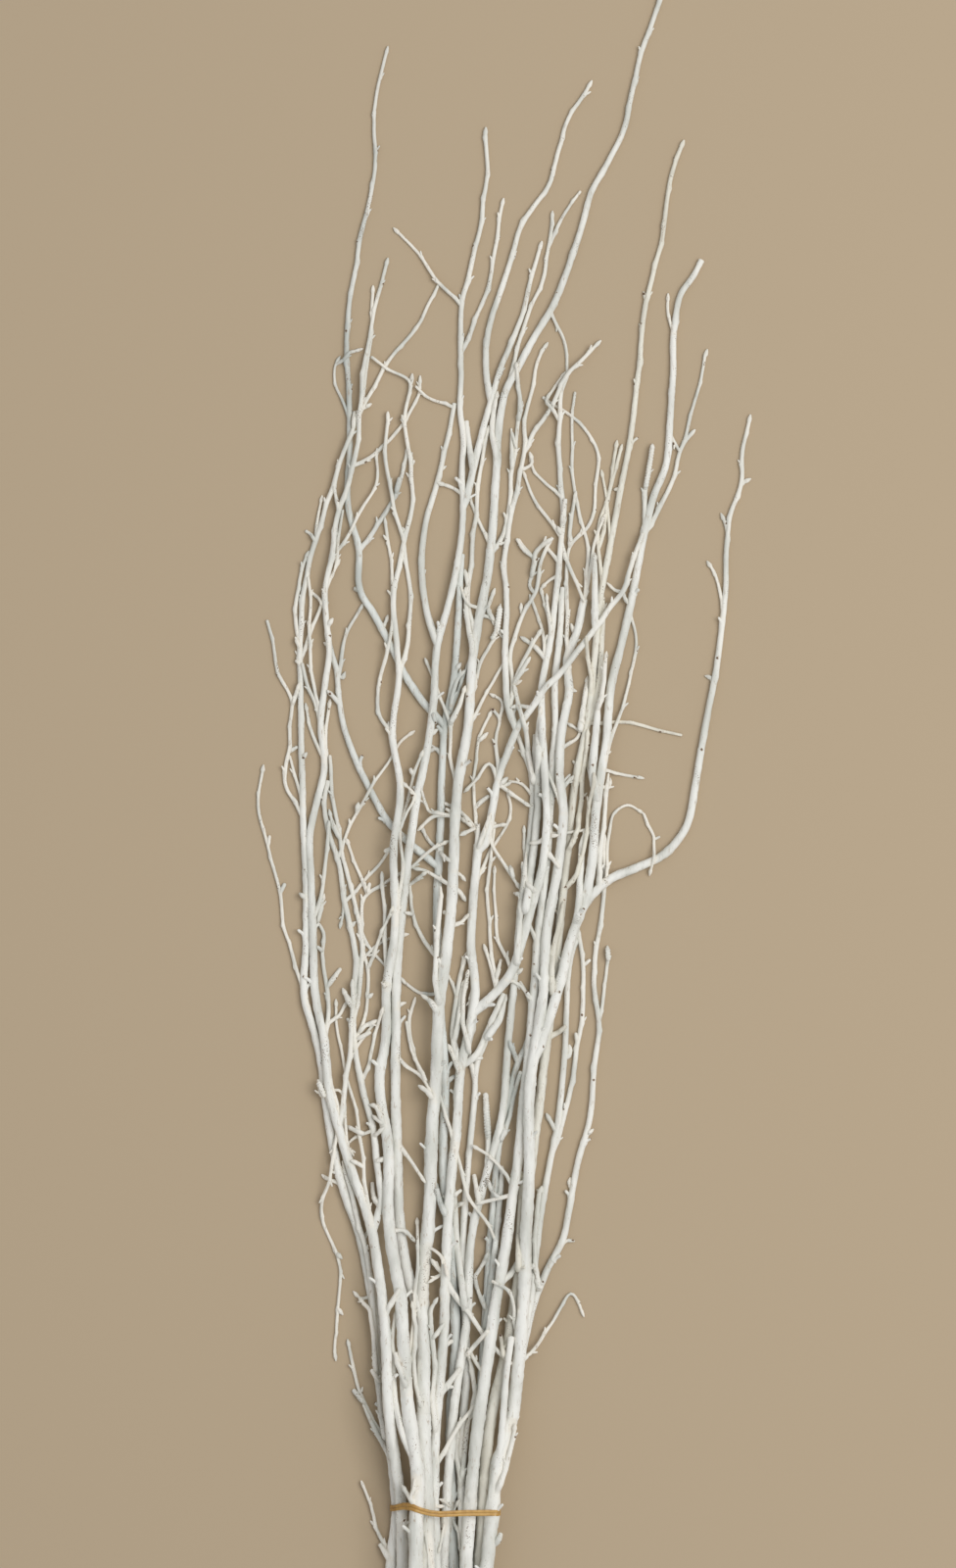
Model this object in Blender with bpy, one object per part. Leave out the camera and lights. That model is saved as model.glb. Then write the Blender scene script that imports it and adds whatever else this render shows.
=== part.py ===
"""A tied bundle of white-painted birch stems lying on a flat surface, in metres with +Z up.

The stems run along Y with their tips towards +Y, and one rubber band holds them near the cut ends.
Their routes are read off the photograph, which looks straight down, so X and Y come from it.
The heights are worked out here: each limb rests on the surface and on the limbs below it.
"""

import math

import bmesh
import bpy
import numpy as np
from mathutils import Vector
from mathutils.geometry import convex_hull_2d
from mathutils.kdtree import KDTree

MM = 0.001

# Scale and place: one photograph pixel on the object, and the pixel that lies over the origin.
PHOTO_PIXEL = 0.7 * MM
CENTRE_COLUMN = 515.0
CENTRE_ROW = 834.0

# Room kept between two limbs that cross, and between the two halves of a split fork.
CROSSING_GAP = 0.5 * MM
SPLIT_GAP = 0.3 * MM

# The steepest rise along a stiff limb and along a thin twig, and the tightest hump of a limb.
LIMB_SLOPE = 0.15
TWIG_SLOPE = 0.5
HUMP_RADIUS = 0.12

# A twig's thickness at its tip, as a share of that where it leaves the limb.
TWIG_TAPER = 0.7

# Route points closer than this to the straight line between their neighbours are left out.
STRAIGHT_WITHIN = 0.8 * MM
SAMPLE_STEP = 2.0 * MM
SETTLING_ROUNDS = 900
SETTLED_WITHIN = 0.002 * MM

# The rubber band: the photograph row it lies on, its width along the stems and its thickness.
BAND_ROW = 1538.0
BAND_WIDTH = 4.0 * MM
BAND_THICKNESS = 1.1 * MM
BAND_CLEARANCE = 0.5 * MM
BAND_FLOOR_GAP = 0.2 * MM
BAND_SIDES = 28

# Stems and twigs this near the band, along Y, leave room for it under them.
BAND_REACH = 60.0 * MM

# A tube thinner than each radius has that many sides, and any thicker one has the most.
SIDES_UP_TO = ((1.3 * MM, 3), (2.1 * MM, 4), (3.0 * MM, 5))
MOST_SIDES = 6

# Colours as seen: chalky white paint, its cream and grey variants, and golden rubber.
WHITE_PAINT = (0.80, 0.79, 0.74)
CREAM_PAINT = (0.78, 0.75, 0.62)
GREY_PAINT = (0.66, 0.66, 0.61)
GOLDEN_RUBBER = (0.52, 0.34, 0.10)
CREAM_STEMS = ("stem_13",)
GREY_STEMS = ("stem_06", "stem_09", "stem_11")
PAINT_ROUGHNESS = 0.75
RUBBER_ROUGHNESS = 0.45

# Every limb: its parent, its height order where it crosses another, its thickness in millimetres
# at the cut or fork and at its tip, and its route across the photograph from the butt to the tip.
LIMBS = {
    "stem_01": (None, 20, 7.4, 1.6, (
        (394, 1668), (399, 1600), (405, 1540), (399, 1482), (392, 1440), (387, 1400), (384, 1350),
        (376, 1300), (367, 1260), (353, 1220), (342, 1180), (334, 1135), (329, 1090), (320, 1050),
        (311, 1020), (313, 960), (312, 900), (310, 850), (309, 800), (307, 745), (307, 690),
        (307, 640), (311, 600), (320, 560), (332, 520), (345, 480), (357, 445), (372, 414),
        (385, 389), (402, 361), (428, 331), (438, 308), (448, 290))),
    "stem_02": (None, 30, 8.2, 1.7, (
        (409, 1672), (411, 1600), (410, 1540), (403, 1480), (397, 1430), (393, 1340), (388, 1300),
        (376, 1240), (361, 1200), (349, 1160), (338, 1120), (331, 1060), (323, 1020), (320, 970),
        (318, 900), (317, 848), (324, 815), (331, 785), (328, 740), (332, 700), (336, 665),
        (334, 640), (333, 600), (340, 560), (346, 520), (357, 490), (364, 460), (368, 420),
        (370, 390), (376, 350), (381, 325), (389, 288), (396, 264))),
    "stem_02_outer_shoot": ("stem_02", 24, 4.4, 2.6, (
        (381, 1256), (385, 1240), (389, 1226), (388, 1208), (385, 1185), (381, 1150), (371, 1115),
        (364, 1080), (361, 1020), (363, 980), (357, 940), (351, 918), (346, 880), (334, 845),
        (332, 815), (335, 797))),
    "stem_03": (None, 60, 10.4, 1.6, (
        (423, 1676), (425, 1600), (426, 1540), (427, 1500), (421, 1460), (416, 1420), (412, 1360),
        (409, 1320), (402, 1280), (397, 1240), (397, 1180), (388, 1097), (394, 1060), (395, 1000),
        (401, 970), (404, 930), (402, 862), (409, 806), (401, 750), (407, 690), (405, 655),
        (402, 610), (407, 578), (414, 548), (420, 520), (420, 480), (416, 455), (414, 420),
        (418, 400), (421, 382))),
    "stem_03_thin_shoot": ("stem_03", 22, 4.4, 2.2, (
        (424, 1490), (413, 1463), (407, 1440), (402, 1385), (401, 1368), (405, 1335))),
    "stem_04": (None, 52, 10.6, 2.5, (
        (436, 1680), (437, 1600), (436, 1540), (433, 1450), (432, 1360), (432, 1300), (438, 1240),
        (441, 1160), (446, 1080), (448, 1030), (455, 980), (461, 920), (465, 840), (468, 796),
        (478, 740), (482, 680), (487, 640), (499, 580), (503, 540), (506, 490), (510, 430),
        (516, 400), (527, 379), (545, 345), (562, 316), (571, 297), (585, 260), (595, 228),
        (603, 198), (622, 163), (638, 131), (646, 90), (659, 42), (670, 12), (681, -16))),
    "stem_04_left_fork": ("stem_04", 54, 7.4, 2.1, (
        (430, 1345), (421, 1315), (411, 1270), (407, 1230), (405, 1160), (404, 1060), (405, 1000),
        (411, 925), (418, 865), (427, 810), (437, 760), (443, 710), (447, 657), (456, 625),
        (466, 580), (472, 540), (473, 512), (472, 480), (473, 450), (469, 415), (471, 380),
        (470, 335), (472, 309), (480, 275), (489, 240), (494, 205), (497, 178), (496, 131))),
    "stem_04_inner_arm": ("stem_04_left_fork", 50, 4.6, 2.4, (
        (447, 659), (440, 640), (434, 615), (431, 570), (435, 532), (444, 500), (452, 470),
        (459, 436), (464, 412))),
    "stem_04_leader_shoot": ("stem_04_left_fork", 56, 4.6, 2.0, (
        (473, 520), (478, 500), (488, 460), (498, 420), (505, 395), (510, 378), (522, 351),
        (533, 321), (541, 290), (549, 262), (553, 247))),
    "stem_04_tall_shoot": ("stem_04_leader_shoot", 55, 4.0, 1.9, (
        (501, 412), (497, 385), (497, 350), (501, 328), (510, 300), (522, 262), (531, 234),
        (545, 211), (561, 188), (571, 150), (576, 131), (590, 106), (604, 83))),
    "stem_05": (None, 40, 7.2, 5.4, (
        (448, 1676), (446, 1600), (443, 1530), (444, 1470), (449, 1410), (454, 1340), (456, 1270),
        (461, 1200), (467, 1140), (471, 1087), (480, 1045), (485, 1015), (481, 960), (483, 920),
        (488, 862))),
    "stem_05_upper_arm": ("stem_05", 58, 5.2, 2.4, (
        (487, 870), (494, 862), (502, 830), (510, 790), (519, 765), (529, 741), (545, 720),
        (556, 703), (571, 688), (588, 666), (604, 645), (620, 624), (636, 603), (641, 587),
        (649, 565), (656, 545))),
    "stem_05_middle_shoot": ("stem_05_upper_arm", 57, 4.4, 1.6, (
        (528, 745), (519, 722), (516, 685), (517, 620), (515, 570), (520, 535), (527, 503),
        (535, 463), (536, 430), (543, 398), (549, 370), (559, 350))),
    "stem_05_left_arm": ("stem_05", 38, 4.4, 2.2, (
        (470, 1090), (463, 1062), (466, 1022), (472, 990), (477, 972))),
    "stem_05_slant_arm": ("stem_05", 56, 6.2, 2.4, (
        (484, 1034), (505, 1013), (520, 995), (533, 960), (544, 920), (554, 880), (558, 840),
        (556, 790), (553, 740), (553, 700), (561, 660), (567, 610), (572, 560), (575, 520),
        (571, 480), (571, 430), (573, 402), (579, 384))),
    "stem_06": (None, 8, 7.6, 3.8, (
        (462, 1672), (463, 1600), (460, 1540), (461, 1450), (465, 1350), (459, 1270), (453, 1200),
        (454, 1100), (449, 1020), (446, 950), (449, 860), (451, 790), (455, 735), (462, 700),
        (467, 650), (470, 600), (471, 566))),
    "stem_06_left_limb": ("stem_06", 10, 4.8, 2.4, (
        (449, 885), (420, 862), (398, 840), (380, 810), (365, 780), (351, 740), (344, 690),
        (337, 657), (331, 622), (332, 604))),
    "stem_06_long_limb": ("stem_06", 12, 4.8, 1.5, (
        (454, 740), (434, 719), (416, 693), (398, 656), (384, 630), (368, 603), (366, 560),
        (356, 520), (357, 460), (355, 375), (354, 340), (361, 285), (371, 228), (382, 182),
        (382, 130), (386, 86), (396, 48))),
    "stem_07": (None, 16, 5.8, 3.2, (
        (474, 1670), (474, 1600), (471, 1520), (472, 1460), (476, 1400), (474, 1320), (473, 1250),
        (479, 1180), (484, 1120), (487, 1085), (496, 1062), (504, 1040), (511, 1018))),
    "stem_08": (None, 44, 9.0, 3.6, (
        (474, 1684), (476, 1600), (480, 1530), (487, 1460), (496, 1400), (504, 1340), (515, 1280),
        (523, 1220), (529, 1180), (535, 1120), (541, 1060), (546, 1000), (549, 955), (555, 905),
        (560, 850), (563, 790), (567, 740), (566, 700), (571, 650), (575, 600))),
    "stem_09": (None, 6, 5.6, 3.0, (
        (482, 1674), (486, 1600), (494, 1530), (498, 1470), (505, 1425), (516, 1385))),
    "stem_10": (None, 50, 9.8, 4.8, (
        (494, 1682), (497, 1600), (503, 1535), (508, 1495), (518, 1462), (524, 1433), (528, 1400),
        (531, 1375), (534, 1330), (537, 1260), (540, 1200), (541, 1110), (546, 1070), (555, 1010),
        (558, 950), (570, 880), (575, 830), (571, 790), (573, 750), (581, 705), (579, 672),
        (590, 640), (596, 612))),
    "stem_10_outer_shoot": ("stem_10", 48, 4.8, 2.1, (
        (529, 1400), (537, 1362), (549, 1318), (561, 1290), (574, 1266), (581, 1234), (591, 1180),
        (602, 1140), (607, 1090), (611, 1042), (606, 995), (611, 955), (618, 900), (616, 868),
        (617, 852))),
    "stem_10_right_shoot": ("stem_10", 42, 4.6, 3.0, (
        (532, 1370), (541, 1330), (547, 1280), (553, 1230), (561, 1188), (569, 1150), (574, 1100),
        (578, 1040), (580, 1000), (589, 945))),
    "stem_10_right_limb": ("stem_10", 56, 7.0, 1.9, (
        (546, 1080), (558, 1045), (571, 1005), (583, 958), (598, 921), (618, 900), (651, 885),
        (675, 873), (698, 848), (710, 802), (716, 765), (723, 725), (731, 682), (736, 650),
        (741, 600), (741, 560), (746, 524), (757, 490), (758, 458), (766, 424))),
    "stem_10_tall_limb": ("stem_10_right_limb", 54, 6.2, 3.4, (
        (596, 925), (604, 880), (609, 820), (618, 760), (624, 700), (634, 660), (647, 600),
        (659, 540), (668, 505), (678, 480), (684, 430), (687, 385), (688, 335), (696, 298),
        (707, 283), (716, 266))),
    "stem_11": (None, 14, 5.8, 3.4, (
        (469, 1670), (474, 1600), (482, 1520), (489, 1440), (495, 1350), (501, 1260), (508, 1180),
        (519, 1120), (528, 1085), (536, 1068), (541, 1055))),
    "stem_12": (None, 32, 6.4, 3.6, (
        (450, 1664), (453, 1600), (456, 1530), (463, 1440), (476, 1350), (482, 1260), (496, 1200),
        (512, 1140), (520, 1050), (527, 980), (533, 915), (541, 850), (545, 800), (547, 750))),
    "stem_13": (None, 18, 8.0, 2.2, (
        (488, 1672), (490, 1600), (494, 1520), (497, 1480), (503, 1435), (514, 1390), (522, 1350),
        (535, 1250), (547, 1150), (560, 1050), (570, 960), (578, 880), (587, 800), (599, 740),
        (606, 680), (613, 610), (622, 560), (634, 500), (642, 455), (650, 400), (655, 345),
        (660, 305), (667, 280), (677, 238), (684, 183), (691, 163), (698, 144))),
}

# Every twig that is fused to a limb: its thickness in millimetres and its route from the limb to its tip.
TWIGS = {
    "stem_01": (
        (2.2, ((398, 1482), (389, 1462), (377, 1440), (366, 1418), (362, 1398), (355, 1367))),
        (2.0, ((400, 1590), (388, 1568), (381, 1545), (369, 1511))),
        (1.8, ((378, 1323), (368, 1325), (361, 1318))),
        (2.6, ((353, 1220), (345, 1207), (336, 1204), (329, 1199))),
        (2.0, ((316, 1035), (303, 988), (291, 950), (286, 915), (276, 872), (264, 828), (269, 781))),
        (2.2, ((309, 834), (300, 818), (292, 803), (292, 783), (295, 762), (297, 735), (298, 718),
               (284, 684), (278, 655), (273, 634))),
        (1.8, ((307, 822), (303, 797), (296, 772))),
        (2.4, ((306, 664), (303, 640), (304, 602), (308, 585), (315, 563))),
        (2.4, ((308, 674), (315, 652), (325, 628), (331, 610))),
        (1.6, ((322, 553), (324, 533), (329, 506))),
        (2.2, ((329, 1090), (342, 1120), (351, 1150), (357, 1178))),
    ),
    "stem_02": (
        (3.2, ((345, 1150), (354, 1099), (359, 1050), (360, 1000))),
        (2.0, ((378, 1250), (372, 1195), (366, 1145), (353, 1092), (345, 1055), (343, 1020))),
        (2.4, ((323, 938), (330, 905), (333, 870), (336, 838))),
        (2.6, ((336, 1062), (336, 1020), (329, 975), (331, 952), (321, 936))),
        (2.0, ((329, 776), (320, 752), (312, 718))),
        (2.4, ((328, 745), (322, 718), (313, 694), (309, 678))),
        (2.0, ((325, 728), (320, 695), (316, 655), (317, 612), (315, 590))),
        (2.2, ((333, 782), (334, 740), (337, 714))),
        (1.8, ((334, 604), (339, 588), (347, 571))),
        (1.8, ((341, 580), (346, 552), (350, 521))),
        (1.8, ((344, 562), (358, 542), (370, 519), (384, 492), (385, 458))),
        (2.0, ((368, 425), (371, 400), (378, 350), (381, 292))),
        (2.2, ((362, 476), (383, 463), (403, 443), (419, 419), (429, 400), (429, 384))),
        (2.0, ((332, 1090), (345, 1130), (336, 1203), (328, 1240), (345, 1282), (346, 1330), (342, 1372),
               (343, 1388))),
        (1.6, ((354, 1180), (341, 1112), (330, 1118), (325, 1102))),
    ),
    "stem_02_outer_shoot": (
        (2.8, ((362, 1040), (369, 990), (368, 950), (354, 890), (341, 820), (337, 772))),
        (2.0, ((366, 955), (375, 913), (392, 901), (413, 889), (440, 868), (458, 858))),
        (1.8, ((345, 876), (356, 846), (378, 806), (395, 780), (409, 756), (423, 746))),
        (2.0, ((352, 919), (361, 910), (371, 900), (388, 882), (398, 866))),
        (1.8, ((363, 988), (380, 968), (400, 957), (417, 953))),
        (2.0, ((364, 1062), (374, 1030), (376, 1000), (368, 948), (377, 965), (396, 988))),
        (1.6, ((350, 916), (350, 932), (347, 947))),
        (1.8, ((364, 1070), (376, 1052), (385, 1041))),
        (1.8, ((358, 1155), (355, 1170), (361, 1179))),
    ),
    "stem_03": (
        (2.4, ((399, 1255), (412, 1254), (424, 1266))),
        (2.2, ((416, 1420), (421, 1360), (424, 1318), (427, 1270), (426, 1243))),
        (2.0, ((404, 945), (411, 885), (409, 850), (417, 812), (424, 787), (432, 766))),
        (2.6, ((395, 1010), (393, 940), (390, 890))),
        (2.2, ((401, 752), (388, 730), (386, 700), (397, 662), (401, 620), (398, 565), (393, 529))),
        (2.6, ((407, 688), (417, 652), (419, 620), (413, 560), (401, 510), (394, 470), (396, 421))),
        (1.8, ((418, 410), (418, 391), (396, 376), (380, 365))),
        (1.6, ((403, 855), (415, 830), (424, 812), (411, 798))),
    ),
    "stem_04": (
        (2.0, ((432, 1330), (441, 1273), (452, 1281), (457, 1300))),
        (2.2, ((443, 1122), (437, 1106), (425, 1083), (418, 1045), (424, 1018))),
        (2.4, ((455, 985), (441, 972), (426, 945), (419, 920), (418, 902))),
        (2.4, ((465, 832), (443, 833), (427, 847))),
        (2.2, ((462, 905), (449, 897), (433, 888), (422, 886))),
        (1.8, ((462, 890), (470, 893), (475, 899))),
        (2.0, ((466, 806), (461, 780), (458, 737), (447, 705), (434, 672))),
        (2.2, ((481, 716), (492, 675), (503, 652), (511, 617))),
        (2.0, ((479, 742), (494, 713), (507, 690), (515, 675))),
        (2.0, ((489, 628), (503, 632), (512, 650))),
        (3.0, ((480, 650), (478, 620), (481, 572), (485, 530), (491, 475), (499, 435))),
        (2.0, ((502, 560), (489, 533), (479, 503))),
        (2.8, ((504, 566), (514, 545), (522, 490), (527, 445), (533, 410))),
        (2.4, ((516, 400), (527, 362), (531, 345), (545, 308), (556, 280), (560, 255), (564, 216))),
        (2.0, ((561, 252), (568, 232), (592, 196))),
        (1.8, ((562, 318), (575, 345), (579, 381))),
    ),
    "stem_04_left_fork": (
        (2.0, ((471, 312), (448, 288), (425, 257), (402, 233))),
        (2.6, ((472, 362), (484, 330), (502, 278), (507, 243), (514, 203))),
        (2.0, ((473, 505), (462, 498), (447, 493))),
        (2.0, ((404, 1075), (414, 1085), (430, 1098), (440, 1114))),
        (2.2, ((405, 1165), (417, 1180), (434, 1205))),
    ),
    "stem_04_inner_arm": (
        (1.8, ((463, 416), (440, 407), (425, 395))),
        (1.6, ((449, 490), (449, 480), (455, 476))),
    ),
    "stem_05": (
        (2.8, ((444, 1495), (464, 1460), (486, 1431))),
        (3.8, ((450, 1421), (460, 1407), (470, 1394))),
        (3.2, ((455, 1303), (466, 1322), (484, 1346), (502, 1370), (521, 1389))),
        (2.2, ((463, 1175), (458, 1145), (447, 1110))),
        (2.4, ((484, 1000), (476, 1055), (473, 1090))),
        (2.0, ((464, 1165), (478, 1218), (500, 1253), (511, 1284))),
        (4.0, ((474, 1088), (487, 1074), (497, 1053), (506, 1033), (514, 1014))),
        (2.0, ((487, 900), (498, 875), (521, 822), (518, 808))),
        (2.6, ((486, 882), (485, 845), (468, 826), (455, 820))),
        (2.0, ((485, 850), (484, 810), (490, 752), (502, 725))),
    ),
    "stem_05_upper_arm": (
        (2.0, ((500, 845), (508, 842), (517, 841))),
        (2.0, ((501, 838), (503, 862), (513, 880), (531, 907))),
        (2.0, ((508, 800), (499, 780), (485, 796), (474, 808))),
        (2.2, ((508, 796), (507, 750), (509, 733), (503, 724))),
        (1.8, ((508, 735), (512, 715), (500, 708))),
        (2.2, ((509, 800), (525, 812), (541, 823))),
        (1.8, ((636, 604), (628, 602), (620, 595))),
    ),
    "stem_05_middle_shoot": (
        (2.6, ((520, 725), (523, 700), (522, 662), (533, 630), (547, 603), (551, 575), (563, 549))),
        (2.0, ((546, 606), (541, 600), (545, 572), (530, 551))),
        (1.8, ((538, 620), (533, 628), (532, 616))),
        (2.6, ((524, 705), (528, 688), (541, 663), (553, 642))),
        (2.0, ((534, 468), (533, 478), (543, 473), (541, 462))),
        (2.6, ((535, 463), (545, 442), (554, 430), (568, 405), (583, 378), (600, 362), (613, 348))),
    ),
    "stem_05_left_arm": (
        (1.8, ((466, 1018), (460, 1000), (455, 992))),
    ),
    "stem_05_slant_arm": (
        (2.6, ((509, 1012), (501, 985), (494, 964))),
        (2.2, ((508, 1010), (504, 985), (499, 945), (498, 922), (500, 880), (505, 840))),
        (2.0, ((524, 990), (508, 955), (505, 920), (505, 884))),
        (1.8, ((518, 998), (530, 1004), (541, 1019))),
        (3.0, ((557, 672), (545, 659), (532, 650))),
        (2.0, ((557, 670), (553, 640), (541, 607))),
        (1.8, ((561, 648), (557, 618), (552, 600))),
        (1.8, ((567, 588), (560, 593), (552, 601))),
        (1.8, ((571, 508), (556, 492), (546, 480), (541, 466))),
        (2.0, ((572, 548), (557, 526), (545, 508), (534, 481))),
        (2.2, ((573, 552), (583, 583), (596, 614))),
        (2.2, ((569, 575), (563, 565), (556, 557))),
    ),
    "stem_06": (
        (2.0, ((448, 1015), (432, 1015), (408, 997))),
        (2.2, ((458, 735), (470, 700), (480, 672))),
        (2.0, ((450, 772), (444, 764), (438, 768))),
        (3.4, ((457, 1243), (451, 1228), (445, 1208))),
        (2.0, ((449, 868), (436, 855), (430, 843))),
    ),
    "stem_06_left_limb": (
        (2.2, ((345, 694), (354, 648), (366, 625), (371, 616))),
        (2.0, ((343, 685), (349, 692), (352, 686))),
    ),
    "stem_06_long_limb": (
        (2.8, ((366, 562), (383, 540), (402, 508), (412, 480), (417, 456))),
        (1.8, ((390, 642), (394, 634), (396, 628))),
        (1.5, ((355, 430), (350, 410), (343, 392), (343, 372), (347, 364))),
    ),
    "stem_07": (
        (3.0, ((485, 1105), (479, 1075), (484, 1040), (486, 1010))),
    ),
    "stem_08": (
        (2.4, ((495, 1400), (486, 1388), (478, 1374))),
        (3.8, ((513, 1308), (523, 1296), (530, 1283))),
        (2.2, ((549, 965), (536, 930), (533, 880))),
        (1.8, ((560, 850), (578, 849), (596, 848), (615, 852))),
        (2.0, ((545, 1030), (536, 1010), (531, 1002))),
        (2.4, ((524, 1219), (513, 1221), (487, 1227))),
        (2.0, ((525, 1213), (515, 1197), (500, 1178), (482, 1168))),
    ),
    "stem_10": (
        (5.2, ((507, 1500), (512, 1466), (514, 1440), (517, 1400), (522, 1362))),
        (2.2, ((534, 1392), (527, 1358), (516, 1313), (503, 1305))),
        (1.9, ((536, 1388), (547, 1373), (562, 1352), (584, 1320), (596, 1343))),
        (2.2, ((572, 830), (564, 800), (553, 770))),
        (2.0, ((574, 765), (580, 759), (590, 752), (592, 747), (586, 742), (579, 738))),
        (3.0, ((580, 668), (587, 650), (583, 637))),
        (2.0, ((595, 615), (603, 580), (606, 555), (617, 526))),
        (2.0, ((594, 618), (600, 560), (588, 510), (584, 440), (587, 401))),
        (2.2, ((580, 690), (579, 600), (582, 557), (600, 538), (608, 500), (607, 452), (584, 426),
               (555, 406))),
    ),
    "stem_10_outer_shoot": (
        (2.0, ((573, 1270), (580, 1265), (586, 1266))),
        (2.0, ((611, 1043), (617, 1010), (620, 966))),
        (1.8, ((585, 1215), (581, 1208), (582, 1202))),
    ),
    "stem_10_right_shoot": (
        (3.2, ((563, 1180), (577, 1135), (590, 1065), (596, 1000), (590, 948))),
    ),
    "stem_10_right_limb": (
        (1.8, ((617, 897), (622, 850), (627, 828), (640, 821), (657, 830))),
        (2.0, ((739, 630), (734, 600), (730, 585), (722, 573))),
        (1.8, ((757, 494), (761, 490), (766, 488))),
        (1.6, ((743, 545), (740, 533), (736, 524))),
        (1.8, ((724, 700), (725, 692), (720, 690))),
    ),
    "stem_10_tall_limb": (
        (1.9, ((618, 778), (634, 725), (647, 675), (649, 650), (643, 622))),
        (1.8, ((615, 784), (635, 790), (657, 794))),
        (1.8, ((614, 800), (621, 804), (623, 794))),
        (3.2, ((657, 545), (659, 500), (666, 454))),
        (2.8, ((660, 545), (673, 519), (686, 490), (697, 455), (709, 439))),
        (2.0, ((693, 463), (701, 440), (713, 395), (722, 357))),
        (1.8, ((688, 340), (682, 320), (682, 300))),
    ),
    "stem_12": (
        (2.0, ((533, 910), (536, 870), (535, 843))),
        (3.6, ((544, 812), (541, 785), (534, 765), (528, 748))),
        (1.8, ((542, 812), (531, 799), (520, 797))),
        (4.2, ((500, 1195), (498, 1145), (496, 1117))),
    ),
    "stem_13": (
        (2.0, ((600, 738), (636, 737), (668, 743), (695, 750))),
        (3.8, ((602, 738), (612, 690), (615, 650), (615, 610))),
        (2.2, ((607, 600), (612, 535), (622, 500), (630, 450))),
        (1.8, ((621, 560), (620, 510), (614, 480))),
        (2.2, ((596, 752), (602, 790), (612, 742))),
        (2.4, ((614, 560), (628, 478), (635, 454))),
        (1.8, ((659, 308), (658, 301), (657, 298))),
    ),
}


def on_surface(column, row):
    """The place on the surface that a photograph pixel shows."""
    return np.array([(column - CENTRE_COLUMN), (CENTRE_ROW - row)]) * PHOTO_PIXEL


def thinned(points, within):
    """The route without the points that lie within this distance of a straight line."""
    if len(points) < 3:
        return points
    run = points[-1] - points[0]
    length = np.hypot(*run)
    inner = points[1:-1] - points[0]
    off_line = np.abs(inner[:, 0] * run[1] - inner[:, 1] * run[0]) / max(length, SPLIT_GAP)
    worst = int(off_line.argmax())
    if off_line[worst] < within:
        return np.array([points[0], points[-1]])
    left = thinned(points[: worst + 2], within)
    right = thinned(points[worst + 1 :], within)
    return np.vstack([left[:-1], right])


def nearest_on_route(points, place):
    """(distance, segment, share along it) of the point of a route nearest to a place."""
    runs = points[1:] - points[:-1]
    shares = ((place - points[:-1]) * runs).sum(axis=1) / (runs**2).sum(axis=1)
    shares = np.clip(shares, 0, 1)
    distances = np.hypot(*(points[:-1] + runs * shares[:, None] - place).T)
    segment = int(distances.argmin())
    return distances[segment], segment, shares[segment]


def along(values, segment, share):
    return values[segment] * (1 - share) + values[segment + 1] * share


class Strand:
    """One tapering run of wood: a limb or a twig, with its route, radii and heights."""

    def __init__(self, limb, order, thickness, points, carrier=None, slope=LIMB_SLOPE):
        self.limb = limb
        self.order = order
        self.carrier = carrier
        self.slope = slope
        self.points = points
        if carrier:
            _, self.root_segment, self.root_share = nearest_on_route(carrier.points, points[0])
            self.points[0] = along(carrier.points, self.root_segment, self.root_share)
        self.points = thinned(self.points, STRAIGHT_WITHIN)
        self.lengths = np.hypot(*(self.points[1:] - self.points[:-1]).T)
        self.arc = np.concatenate([[0], self.lengths.cumsum()])
        share = self.arc / self.arc[-1]
        self.radii = (thickness[0] * (1 - share) + thickness[1] * share) / 2
        self.heights = self.radii.copy()
        self.fork_end = 0.0

    def samples(self):
        """(segment, share) of evenly spaced places along the strand."""
        for segment, length in enumerate(self.lengths):
            steps = max(1, math.ceil(length / SAMPLE_STEP))
            for step in range(steps):
                yield segment, step / steps
        yield len(self.lengths) - 1, 1.0

    def at_arc(self, distance):
        """(segment, share) of the place this far along the strand."""
        segment = int(np.searchsorted(self.arc, distance, side="right")) - 1
        segment = min(max(segment, 0), len(self.lengths) - 1)
        return segment, (distance - self.arc[segment]) / self.lengths[segment]

    def stretch(self, start, end):
        """Places in space and radii of the strand between two distances along it."""
        inner = self.arc[(self.arc > start + SPLIT_GAP) & (self.arc < end - SPLIT_GAP)]
        stops = [self.at_arc(distance) for distance in (start, *inner, end)]
        places = [
            Vector((*along(self.points, *stop), along(self.heights, *stop))) for stop in stops
        ]
        return places, [along(self.radii, *stop) for stop in stops]


def find_fork_end(child):
    """Sets how far along a child its parent still touches it."""
    parent = child.carrier
    for segment, share in child.samples():
        place = along(child.points, segment, share)
        distance, *there = nearest_on_route(parent.points, place)
        room = along(child.radii, segment, share) + along(parent.radii, *there)
        child.fork_end = along(child.arc, segment, share)
        if distance > room + CROSSING_GAP:
            return


def grow_limbs():
    """The strands of every limb, each with its twigs, in a dictionary of lists."""
    limbs = {}
    for name, (parent, order, butt, tip, route) in LIMBS.items():
        points = np.array([on_surface(*pixel) for pixel in route])
        carrier = limbs[parent][0] if parent else None
        limb = Strand(name, order, (butt * MM, tip * MM), points, carrier)
        if carrier:
            find_fork_end(limb)
        limbs[name] = [limb]
        for thickness, twig_route in TWIGS.get(name, ()):
            limbs[name].append(grow_twig(limbs[name], thickness * MM, twig_route))
    return limbs


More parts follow.
